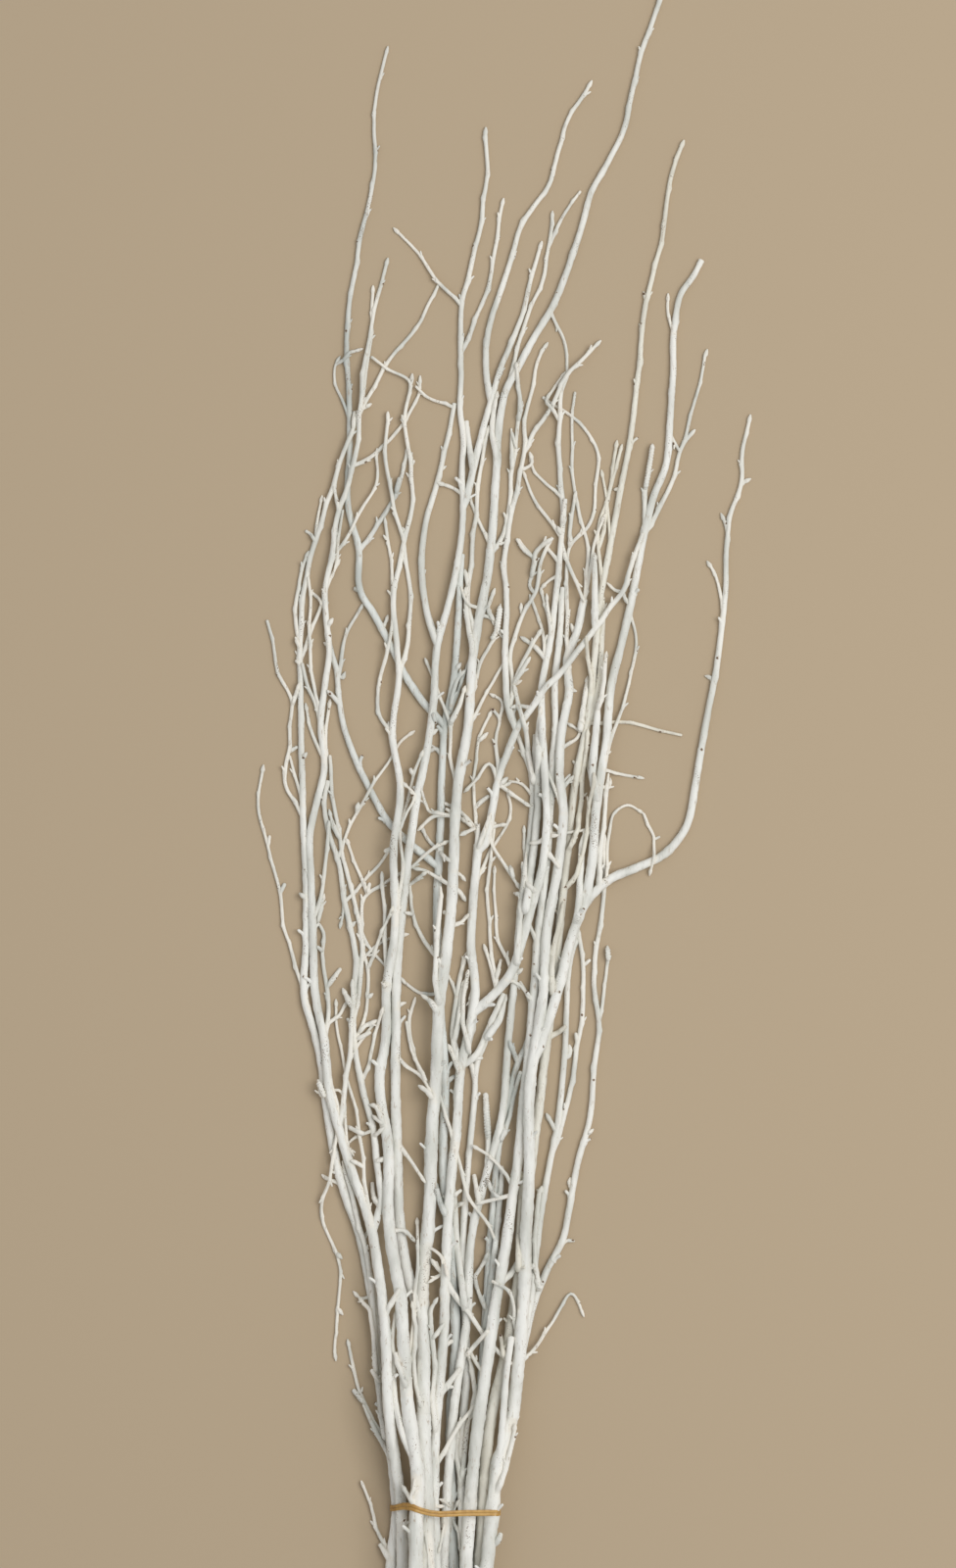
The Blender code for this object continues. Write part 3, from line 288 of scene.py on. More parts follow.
# %% Twigs of each limb
# Every twig that is fused to a limb: its thickness in millimetres and its route from the limb to its tip.
TWIGS = {
    "stem_01": (
        (2.2, ((398, 1482), (389, 1462), (377, 1440), (366, 1418), (362, 1398), (355, 1367))),
        (2.0, ((400, 1590), (388, 1568), (381, 1545), (369, 1511))),
        (1.8, ((378, 1323), (368, 1325), (361, 1318))),
        (2.6, ((353, 1220), (345, 1207), (336, 1204), (329, 1199))),
        (2.0, ((316, 1035), (303, 988), (291, 950), (286, 915), (276, 872), (264, 828), (269, 781))),
        (2.2, ((309, 834), (300, 818), (292, 803), (292, 783), (295, 762), (297, 735), (298, 718),
               (284, 684), (278, 655), (273, 634))),
        (1.8, ((307, 822), (303, 797), (296, 772))),
        (2.4, ((306, 664), (303, 640), (304, 602), (308, 585), (315, 563))),
        (2.4, ((308, 674), (315, 652), (325, 628), (331, 610))),
        (1.6, ((322, 553), (324, 533), (329, 506))),
        (2.2, ((329, 1090), (342, 1120), (351, 1150), (357, 1178))),
    ),
    "stem_02": (
        (3.2, ((345, 1150), (354, 1099), (359, 1050), (360, 1000))),
        (2.0, ((378, 1250), (372, 1195), (366, 1145), (353, 1092), (345, 1055), (343, 1020))),
        (2.4, ((323, 938), (330, 905), (333, 870), (336, 838))),
        (2.6, ((336, 1062), (336, 1020), (329, 975), (331, 952), (321, 936))),
        (2.0, ((329, 776), (320, 752), (312, 718))),
        (2.4, ((328, 745), (322, 718), (313, 694), (309, 678))),
        (2.0, ((325, 728), (320, 695), (316, 655), (317, 612), (315, 590))),
        (2.2, ((333, 782), (334, 740), (337, 714))),
        (1.8, ((334, 604), (339, 588), (347, 571))),
        (1.8, ((341, 580), (346, 552), (350, 521))),
        (1.8, ((344, 562), (358, 542), (370, 519), (384, 492), (385, 458))),
        (2.0, ((368, 425), (371, 400), (378, 350), (381, 292))),
        (2.2, ((362, 476), (383, 463), (403, 443), (419, 419), (429, 400), (429, 384))),
        (2.0, ((332, 1090), (345, 1130), (336, 1203), (328, 1240), (345, 1282), (346, 1330), (342, 1372),
               (343, 1388))),
        (1.6, ((354, 1180), (341, 1112), (330, 1118), (325, 1102))),
    ),
    "stem_02_outer_shoot": (
        (2.8, ((362, 1040), (369, 990), (368, 950), (354, 890), (341, 820), (337, 772))),
        (2.0, ((366, 955), (375, 913), (392, 901), (413, 889), (440, 868), (458, 858))),
        (1.8, ((345, 876), (356, 846), (378, 806), (395, 780), (409, 756), (423, 746))),
        (2.0, ((352, 919), (361, 910), (371, 900), (388, 882), (398, 866))),
        (1.8, ((363, 988), (380, 968), (400, 957), (417, 953))),
        (2.0, ((364, 1062), (374, 1030), (376, 1000), (368, 948), (377, 965), (396, 988))),
        (1.6, ((350, 916), (350, 932), (347, 947))),
        (1.8, ((364, 1070), (376, 1052), (385, 1041))),
        (1.8, ((358, 1155), (355, 1170), (361, 1179))),
    ),
    "stem_03": (
        (2.4, ((399, 1255), (412, 1254), (424, 1266))),
        (2.2, ((416, 1420), (421, 1360), (424, 1318), (427, 1270), (426, 1243))),
        (2.0, ((404, 945), (411, 885), (409, 850), (417, 812), (424, 787), (432, 766))),
        (2.6, ((395, 1010), (393, 940), (390, 890))),
        (2.2, ((401, 752), (388, 730), (386, 700), (397, 662), (401, 620), (398, 565), (393, 529))),
        (2.6, ((407, 688), (417, 652), (419, 620), (413, 560), (401, 510), (394, 470), (396, 421))),
        (1.8, ((418, 410), (418, 391), (396, 376), (380, 365))),
        (1.6, ((403, 855), (415, 830), (424, 812), (411, 798))),
    ),
    "stem_04": (
        (2.0, ((432, 1330), (441, 1273), (452, 1281), (457, 1300))),
        (2.2, ((443, 1122), (437, 1106), (425, 1083), (418, 1045), (424, 1018))),
        (2.4, ((455, 985), (441, 972), (426, 945), (419, 920), (418, 902))),
        (2.4, ((465, 832), (443, 833), (427, 847))),
        (2.2, ((462, 905), (449, 897), (433, 888), (422, 886))),
        (1.8, ((462, 890), (470, 893), (475, 899))),
        (2.0, ((466, 806), (461, 780), (458, 737), (447, 705), (434, 672))),
        (2.2, ((481, 716), (492, 675), (503, 652), (511, 617))),
        (2.0, ((479, 742), (494, 713), (507, 690), (515, 675))),
        (2.0, ((489, 628), (503, 632), (512, 650))),
        (3.0, ((480, 650), (478, 620), (481, 572), (485, 530), (491, 475), (499, 435))),
        (2.0, ((502, 560), (489, 533), (479, 503))),
        (2.8, ((504, 566), (514, 545), (522, 490), (527, 445), (533, 410))),
        (2.4, ((516, 400), (527, 362), (531, 345), (545, 308), (556, 280), (560, 255), (564, 216))),
        (2.0, ((561, 252), (568, 232), (592, 196))),
        (1.8, ((562, 318), (575, 345), (579, 381))),
    ),
    "stem_04_left_fork": (
        (2.0, ((471, 312), (448, 288), (425, 257), (402, 233))),
        (2.6, ((472, 362), (484, 330), (502, 278), (507, 243), (514, 203))),
        (2.0, ((473, 505), (462, 498), (447, 493))),
        (2.0, ((404, 1075), (414, 1085), (430, 1098), (440, 1114))),
        (2.2, ((405, 1165), (417, 1180), (434, 1205))),
    ),
    "stem_04_inner_arm": (
        (1.8, ((463, 416), (440, 407), (425, 395))),
        (1.6, ((449, 490), (449, 480), (455, 476))),
    ),
    "stem_05": (
        (2.8, ((444, 1495), (464, 1460), (486, 1431))),
        (3.8, ((450, 1421), (460, 1407), (470, 1394))),
        (3.2, ((455, 1303), (466, 1322), (484, 1346), (502, 1370), (521, 1389))),
        (2.2, ((463, 1175), (458, 1145), (447, 1110))),
        (2.4, ((484, 1000), (476, 1055), (473, 1090))),
        (2.0, ((464, 1165), (478, 1218), (500, 1253), (511, 1284))),
        (4.0, ((474, 1088), (487, 1074), (497, 1053), (506, 1033), (514, 1014))),
        (2.0, ((487, 900), (498, 875), (521, 822), (518, 808))),
        (2.6, ((486, 882), (485, 845), (468, 826), (455, 820))),
        (2.0, ((485, 850), (484, 810), (490, 752), (502, 725))),
    ),
    "stem_05_upper_arm": (
        (2.0, ((500, 845), (508, 842), (517, 841))),
        (2.0, ((501, 838), (503, 862), (513, 880), (531, 907))),
        (2.0, ((508, 800), (499, 780), (485, 796), (474, 808))),
        (2.2, ((508, 796), (507, 750), (509, 733), (503, 724))),
        (1.8, ((508, 735), (512, 715), (500, 708))),
        (2.2, ((509, 800), (525, 812), (541, 823))),
        (1.8, ((636, 604), (628, 602), (620, 595))),
    ),
    "stem_05_middle_shoot": (
        (2.6, ((520, 725), (523, 700), (522, 662), (533, 630), (547, 603), (551, 575), (563, 549))),
        (2.0, ((546, 606), (541, 600), (545, 572), (530, 551))),
        (1.8, ((538, 620), (533, 628), (532, 616))),
        (2.6, ((524, 705), (528, 688), (541, 663), (553, 642))),
        (2.0, ((534, 468), (533, 478), (543, 473), (541, 462))),
        (2.6, ((535, 463), (545, 442), (554, 430), (568, 405), (583, 378), (600, 362), (613, 348))),
    ),
    "stem_05_left_arm": (
        (1.8, ((466, 1018), (460, 1000), (455, 992))),
    ),
    "stem_05_slant_arm": (
        (2.6, ((509, 1012), (501, 985), (494, 964))),
        (2.2, ((508, 1010), (504, 985), (499, 945), (498, 922), (500, 880), (505, 840))),
        (2.0, ((524, 990), (508, 955), (505, 920), (505, 884))),
        (1.8, ((518, 998), (530, 1004), (541, 1019))),
        (3.0, ((557, 672), (545, 659), (532, 650))),
        (2.0, ((557, 670), (553, 640), (541, 607))),
        (1.8, ((561, 648), (557, 618), (552, 600))),
        (1.8, ((567, 588), (560, 593), (552, 601))),
        (1.8, ((571, 508), (556, 492), (546, 480), (541, 466))),
        (2.0, ((572, 548), (557, 526), (545, 508), (534, 481))),
        (2.2, ((573, 552), (583, 583), (596, 614))),
        (2.2, ((569, 575), (563, 565), (556, 557))),
    ),
    "stem_06": (
        (2.0, ((448, 1015), (432, 1015), (408, 997))),
        (2.2, ((458, 735), (470, 700), (480, 672))),
        (2.0, ((450, 772), (444, 764), (438, 768))),
        (3.4, ((457, 1243), (451, 1228), (445, 1208))),
        (2.0, ((449, 868), (436, 855), (430, 843))),
    ),
    "stem_06_left_limb": (
        (2.2, ((345, 694), (354, 648), (366, 625), (371, 616))),
        (2.0, ((343, 685), (349, 692), (352, 686))),
    ),
    "stem_06_long_limb": (
        (2.8, ((366, 562), (383, 540), (402, 508), (412, 480), (417, 456))),
        (1.8, ((390, 642), (394, 634), (396, 628))),
        (1.5, ((355, 430), (350, 410), (343, 392), (343, 372), (347, 364))),
    ),
    "stem_07": (
        (3.0, ((485, 1105), (479, 1075), (484, 1040), (486, 1010))),
    ),
    "stem_08": (
        (2.4, ((495, 1400), (486, 1388), (478, 1374))),
        (3.8, ((513, 1308), (523, 1296), (530, 1283))),
        (2.2, ((549, 965), (536, 930), (533, 880))),
        (1.8, ((560, 850), (578, 849), (596, 848), (615, 852))),
        (2.0, ((545, 1030), (536, 1010), (531, 1002))),
        (2.4, ((524, 1219), (513, 1221), (487, 1227))),
        (2.0, ((525, 1213), (515, 1197), (500, 1178), (482, 1168))),
    ),
    "stem_10": (
        (5.2, ((507, 1500), (512, 1466), (514, 1440), (517, 1400), (522, 1362))),
        (2.2, ((534, 1392), (527, 1358), (516, 1313), (503, 1305))),
        (1.9, ((536, 1388), (547, 1373), (562, 1352), (584, 1320), (596, 1343))),
        (2.2, ((572, 830), (564, 800), (553, 770))),
        (2.0, ((574, 765), (580, 759), (590, 752), (592, 747), (586, 742), (579, 738))),
        (3.0, ((580, 668), (587, 650), (583, 637))),
        (2.0, ((595, 615), (603, 580), (606, 555), (617, 526))),
        (2.0, ((594, 618), (600, 560), (588, 510), (584, 440), (587, 401))),
        (2.2, ((580, 690), (579, 600), (582, 557), (600, 538), (608, 500), (607, 452), (584, 426),
               (555, 406))),
    ),
    "stem_10_outer_shoot": (
        (2.0, ((573, 1270), (580, 1265), (586, 1266))),
        (2.0, ((611, 1043), (617, 1010), (620, 966))),
        (1.8, ((585, 1215), (581, 1208), (582, 1202))),
    ),
    "stem_10_right_shoot": (
        (3.2, ((563, 1180), (577, 1135), (590, 1065), (596, 1000), (590, 948))),
    ),
    "stem_10_right_limb": (
        (1.8, ((617, 897), (622, 850), (627, 828), (640, 821), (657, 830))),
        (2.0, ((739, 630), (734, 600), (730, 585), (722, 573))),
        (1.8, ((757, 494), (761, 490), (766, 488))),
        (1.6, ((743, 545), (740, 533), (736, 524))),
        (1.8, ((724, 700), (725, 692), (720, 690))),
    ),
    "stem_10_tall_limb": (
        (1.9, ((618, 778), (634, 725), (647, 675), (649, 650), (643, 622))),
        (1.8, ((615, 784), (635, 790), (657, 794))),
        (1.8, ((614, 800), (621, 804), (623, 794))),
        (3.2, ((657, 545), (659, 500), (666, 454))),
        (2.8, ((660, 545), (673, 519), (686, 490), (697, 455), (709, 439))),
        (2.0, ((693, 463), (701, 440), (713, 395), (722, 357))),
        (1.8, ((688, 340), (682, 320), (682, 300))),
    ),
    "stem_12": (
        (2.0, ((533, 910), (536, 870), (535, 843))),
        (3.6, ((544, 812), (541, 785), (534, 765), (528, 748))),
        (1.8, ((542, 812), (531, 799), (520, 797))),
        (4.2, ((500, 1195), (498, 1145), (496, 1117))),
    ),
    "stem_13": (
        (2.0, ((600, 738), (636, 737), (668, 743), (695, 750))),
        (3.8, ((602, 738), (612, 690), (615, 650), (615, 610))),
        (2.2, ((607, 600), (612, 535), (622, 500), (630, 450))),
        (1.8, ((621, 560), (620, 510), (614, 480))),
        (2.2, ((596, 752), (602, 790), (612, 742))),
        (2.4, ((614, 560), (628, 478), (635, 454))),
        (1.8, ((659, 308), (658, 301), (657, 298))),
    ),
}
print(sum(len(group) for group in TWIGS.values()), "twigs")

# %% [markdown]
# ## Strands, and how they rest
#
# A photograph from above says nothing about heights, but gravity does: every limb lies on the table
# or on the limbs that pass below it. So each strand starts flat on the table and is raised, a little
# at a time, until nothing touches at the crossings. Wood bends only so sharply, which is the slope
# and the hump that the loop allows. A physics simulation of stiff branching rods would give much the
# same heap, but it could be neither repeated exactly nor matched to the construction model.

# %% Following a route
CROSSING_GAP = 0.5 * MM
SPLIT_GAP = 0.3 * MM
STRAIGHT_WITHIN = 0.8 * MM
SAMPLE_STEP = 2.0 * MM


def thinned(points, within):
    """The route without the points that lie within this distance of a straight line."""
    if len(points) < 3:
        return points
    run = points[-1] - points[0]
    length = np.hypot(*run)
    inner = points[1:-1] - points[0]
    off_line = np.abs(inner[:, 0] * run[1] - inner[:, 1] * run[0]) / max(length, SPLIT_GAP)
    worst = int(off_line.argmax())
    if off_line[worst] < within:
        return np.array([points[0], points[-1]])
    left = thinned(points[: worst + 2], within)
    right = thinned(points[worst + 1 :], within)
    return np.vstack([left[:-1], right])


def nearest_on_route(points, place):
    """(distance, segment, share along it) of the point of a route nearest to a place."""
    runs = points[1:] - points[:-1]
    shares = ((place - points[:-1]) * runs).sum(axis=1) / (runs**2).sum(axis=1)
    shares = np.clip(shares, 0, 1)
    distances = np.hypot(*(points[:-1] + runs * shares[:, None] - place).T)
    segment = int(distances.argmin())
    return distances[segment], segment, shares[segment]


def along(values, segment, share):
    """The value at this share of the way along a segment."""
    return values[segment] * (1 - share) + values[segment + 1] * share


print("routes bend by at least", STRAIGHT_WITHIN / MM, "mm where a point is kept")

# %% A strand of wood
LIMB_SLOPE = 0.15
TWIG_SLOPE = 0.5
TWIG_TAPER = 0.7
TWIG_ORDER = 0.5


class Strand:
    """One tapering run of wood: a limb or a twig, with its route, radii and heights."""

    def __init__(self, limb, order, thickness, points, carrier=None, slope=LIMB_SLOPE):
        self.limb = limb
        self.order = order
        self.carrier = carrier
        self.slope = slope
        self.route = points
        if carrier:
            _, self.root_segment, self.root_share = nearest_on_route(carrier.points, points[0])
            self.route[0] = along(carrier.points, self.root_segment, self.root_share)
        self.points = thinned(self.route, STRAIGHT_WITHIN)
        self.lengths = np.hypot(*(self.points[1:] - self.points[:-1]).T)
        self.arc = np.concatenate([[0], self.lengths.cumsum()])
        share = self.arc / self.arc[-1]
        self.radii = (thickness[0] * (1 - share) + thickness[1] * share) / 2
        self.heights = self.radii.copy()
        self.fork_end = 0.0

    def samples(self):
        """(segment, share) of evenly spaced places along the strand."""
        for segment, length in enumerate(self.lengths):
            steps = max(1, math.ceil(length / SAMPLE_STEP))
            for step in range(steps):
                yield segment, step / steps
        yield len(self.lengths) - 1, 1.0

    def at_arc(self, distance):
        """(segment, share) of the place this far along the strand."""
        segment = int(np.searchsorted(self.arc, distance, side="right")) - 1
        segment = min(max(segment, 0), len(self.lengths) - 1)
        return segment, (distance - self.arc[segment]) / self.lengths[segment]


def find_fork_end(child):
    """Sets how far along a child its parent still touches it."""
    parent = child.carrier
    for segment, share in child.samples():
        place = along(child.points, segment, share)
        distance, *there = nearest_on_route(parent.points, place)
        room = along(child.radii, segment, share) + along(parent.radii, *there)
        child.fork_end = along(child.arc, segment, share)
        if distance > room + CROSSING_GAP:
            return


def grow_twig(strands, thickness, route):
    """A twig on the strand of its limb that passes nearest to its first point."""
    limb = strands[0]
    points = np.array([on_table(*pixel) for pixel in route])
    carrier = min(strands, key=lambda strand: nearest_on_route(strand.points, points[0])[0])
    _, *root = nearest_on_route(carrier.points, points[0])
    clear_of_fork = limb.fork_end + thickness + limb.radii[0]
    if carrier is limb and limb.carrier and along(limb.arc, *root) < clear_of_fork:
        points[0] = along(limb.points, *limb.at_arc(clear_of_fork))
    ends = (thickness, thickness * TWIG_TAPER)
    twig = Strand(limb.limb, limb.order + TWIG_ORDER, ends, points, carrier, TWIG_SLOPE)
    find_fork_end(twig)
    return twig


limbs = {}
for name, (parent, order, butt, tip, route) in LIMBS.items():
    points = np.array([on_table(*pixel) for pixel in route])
    carrier = limbs[parent][0] if parent else None
    limb = Strand(name, order, (butt * MM, tip * MM), points, carrier)
    if carrier:
        find_fork_end(limb)
    limbs[name] = [limb]
    for thickness, twig_route in TWIGS.get(name, ()):
        limbs[name].append(grow_twig(limbs[name], thickness * MM, twig_route))
strands = [strand for group in limbs.values() for strand in group]
print(len(strands), "strands,", round(sum(strand.arc[-1] for strand in strands), 1), "m of wood")

# %% Who crosses whom


def tree_of(places):
    """A search tree that finds the place nearest to another one, and all places within a reach."""
    tree = KDTree(len(places))
    for index, place in enumerate(places):
        tree.insert(place, index)
    tree.balance()
    return tree


def crossings(strands):
    """Every pair of places, one on each of two limbs, that would touch at equal heights.

    Each row holds the upper strand, its segment and share, the lower one's, and the rise between them.
    """
    places = []
    for number, strand in enumerate(strands):
        for segment, share in strand.samples():
            in_fork = strand.carrier and along(strand.arc, segment, share) <= strand.fork_end
            wood = strand.carrier if in_fork else strand
            x, y = along(strand.points, segment, share)
            radius = along(strand.radii, segment, share)
            places.append((number, segment, share, x, y, radius, wood.limb, (wood.order, number)))
    tree = tree_of([(place[3], place[4], 0) for place in places])
    widest = max(place[5] for place in places)
    rows = []
    for number, segment, share, x, y, radius, limb, rank in places:
        for _, other, distance in tree.find_range((x, y, 0), radius + widest + CROSSING_GAP):
            below = places[other]
            if below[0] == number or below[6] == limb or below[7] > rank:
                continue
            reach = radius + below[5] + CROSSING_GAP
            if distance < reach:
                rise = math.sqrt(reach**2 - distance**2)
                rows.append((number, segment, share, below[0], below[1], below[2], rise))
    return rows


touching = np.array(crossings(strands))
print(len(touching), "pairs of places where one strand passes over another")

# %% Raise the strands until they lie clear
HUMP_RADIUS = 0.12
SETTLING_ROUNDS = 900
SETTLED_WITHIN = 0.002 * MM
BAND_ROW = 1538.0
BAND_THICKNESS = 1.1 * MM
BAND_CLEARANCE = 0.5 * MM
BAND_FLOOR_GAP = 0.2 * MM
BAND_REACH = 60.0 * MM


def settle(strands, table):
    """Raises the strands from the table top until each one lies clear on those below it."""
    starts = np.cumsum([0] + [len(strand.points) for strand in strands])
    heights = np.concatenate([strand.radii for strand in strands])
    floor = heights.copy()
    band_y = on_table(0, BAND_ROW)[1]
    for strand, start in zip(strands, starts):
        near = np.abs(strand.points[:, 1] - band_y) < BAND_REACH
        floor[start : start + len(near)][near] += BAND_THICKNESS + BAND_CLEARANCE + BAND_FLOOR_GAP
    upper = starts[table[:, 0].astype(int)] + table[:, 1].astype(int)
    lower = starts[table[:, 3].astype(int)] + table[:, 4].astype(int)
    upper_share, lower_share, rise = table[:, 2], table[:, 5], table[:, 6]
    spread = (1 - upper_share) ** 2 + upper_share**2
    paired = list(zip(strands, starts))
    first = np.concatenate([np.arange(len(strand.lengths)) + start for strand, start in paired])
    limit = np.concatenate([strand.lengths * strand.slope for strand in strands])
    runs = np.concatenate([strand.lengths for strand in strands])
    follows = np.flatnonzero(first[1:] == first[:-1] + 1)
    before, after = runs[follows], runs[follows + 1]
    middle = first[follows] + 1
    hump = before * after / (2 * HUMP_RADIUS)
    joined = [(strand, start) for strand, start in paired if strand.carrier]
    root = np.array([start for _, start in joined])
    held = np.array([starts[strands.index(twig.carrier)] + twig.root_segment for twig, _ in joined])
    held_share = np.array([twig.root_share for twig, _ in joined])
    held_spread = (1 - held_share) ** 2 + held_share**2
    heights = np.maximum(heights, floor)
    for _ in range(SETTLING_ROUNDS):
        earlier = heights.copy()
        # Where two strands cross, the upper one rests on the lower one.
        below = along(heights, lower, lower_share)
        short = np.maximum(below + rise - along(heights, upper, upper_share), 0) / spread
        raised = heights.copy()
        np.maximum.at(raised, upper, heights[upper] + short * (1 - upper_share))
        np.maximum.at(raised, upper + 1, heights[upper + 1] + short * upper_share)
        heights = raised
        # The root of a twig stays on the line of its carrier.
        held_at = along(heights, held, held_share)
        heights[root] = np.maximum(heights[root], held_at)
        short = (heights[root] - held_at) / held_spread
        np.maximum.at(heights, held, heights[held] + short * (1 - held_share))
        np.maximum.at(heights, held + 1, heights[held + 1] + short * held_share)
        # Nothing climbs more steeply than its slope.
        np.maximum.at(heights, first, heights[first + 1] - limit)
        np.maximum.at(heights, first + 1, heights[first] - limit)
        # Nothing bends over a crossing more sharply than its hump.
        chord = (heights[middle - 1] * after + heights[middle + 1] * before) / (before + after)
        short = np.maximum(heights[middle] - chord - hump, 0)
        np.maximum.at(heights, middle - 1, heights[middle - 1] + short)
        np.maximum.at(heights, middle + 1, heights[middle + 1] + short)
        if np.abs(heights - earlier).max() < SETTLED_WITHIN:
            break
    for strand, start in zip(strands, starts):
        strand.heights = heights[start : start + len(strand.points)]


settle(strands, touching)
print("the heap is", round(max(strand.heights.max() for strand in strands) / MM), "mm high")

# %% [markdown]
# ## The smallest wood
#
# Some wood was too much for the construction model: strands that show deep between the stems, the
# thinnest twigs, and a few catkins, the blunt scaly spikes that some twigs carry over winter. They
# could be scattered by chance, but then none would be where the photograph shows it, so they are
# lists of places as well. Each grows from the strand nearest to its first place. No limb rests on
# them, so the heap stays as it is: a low strand keeps to the nearest free gap above its root, and a
# fine twig or a catkin lies on top of what it crosses. None bends more than a springy twig would.

# %% Low strands
# Every low strand: its thickness in millimetres and its route across the photograph from its root.
LOW_STRANDS = (
    (3.8, ((386, 1405), (384, 1380), (382, 1340), (380, 1310), (376, 1290), (370, 1260), (364, 1235),
           (357, 1210), (350, 1185))),
    (3.4, ((390, 1470), (387, 1430), (384, 1400), (380, 1360), (378, 1335), (366, 1323))),
    (3.2, ((396, 1490), (388, 1468), (378, 1448), (371, 1433))),
    (3.0, ((427, 1440), (425, 1410), (422, 1380), (425, 1350), (421, 1325))),
    (4.6, ((474, 1335), (470, 1305), (467, 1275), (466, 1245), (464, 1212))),
    (4.4, ((494, 1365), (499, 1330), (503, 1300), (506, 1272), (509, 1240), (511, 1215), (513, 1190))),
    (3.6, ((527, 1295), (529, 1260), (531, 1230), (533, 1195))),
    (3.6, ((549, 1315), (546, 1290), (546, 1260), (548, 1235), (553, 1210))),
    (3.4, ((466, 1515), (466, 1480), (467, 1450))),
    (3.2, ((474, 1510), (475, 1480), (478, 1450), (482, 1440))),
    (3.4, ((442, 1460), (442, 1425), (444, 1395), (441, 1365), (440, 1335), (447, 1322))),
    (3.6, ((512, 1525), (517, 1495), (522, 1470), (526, 1450))),
    (3.2, ((483, 1445), (485, 1420), (482, 1395), (478, 1380))),
    (5.2, ((536, 930), (541, 893), (546, 860), (549, 825), (549, 785), (549, 750), (552, 722))),
    (4.8, ((586, 940), (590, 915), (592, 890), (594, 862), (598, 845))),
    (5.5, ((600, 815), (604, 790), (607, 765), (609, 740), (611, 715))),
    (3.4, ((609, 905), (612, 880), (615, 850), (618, 815), (621, 790))),
    (4.0, ((561, 1015), (563, 990), (566, 965), (571, 940), (575, 920))),
    (5.0, ((506, 1062), (510, 1040), (517, 1015))),
    (3.4, ((468, 1065), (468, 1040), (471, 1015), (474, 1000))),
    (3.6, ((442, 1025), (444, 1000), (447, 965), (449, 930), (450, 905))),
    (4.0, ((446, 1032), (439, 1020), (430, 1014))),
    (4.0, ((526, 985), (529, 955), (532, 925), (535, 895), (537, 870))),
    (3.0, ((326, 940), (327, 928), (331, 912))),
    (2.8, ((345, 856), (340, 842), (336, 826))),
    (3.2, ((482, 846), (476, 838), (470, 834))),
    (2.8, ((527, 480), (523, 455), (522, 438))),
    (2.8, ((532, 430), (531, 405), (528, 385), (527, 370))),
    (3.6, ((500, 470), (502, 445), (504, 420), (508, 400))),
    (3.4, ((482, 670), (479, 645), (477, 620), (475, 600))),
    (4.4, ((606, 640), (607, 610), (608, 585), (607, 565))),
    (3.6, ((593, 745), (596, 715), (600, 690))),
    (3.0, ((615, 725), (617, 695), (619, 665))),
    (3.2, ((463, 740), (469, 720), (475, 700))),
    (2.6, ((562, 650), (560, 630), (558, 606))),
)
print(len(LOW_STRANDS), "low strands")

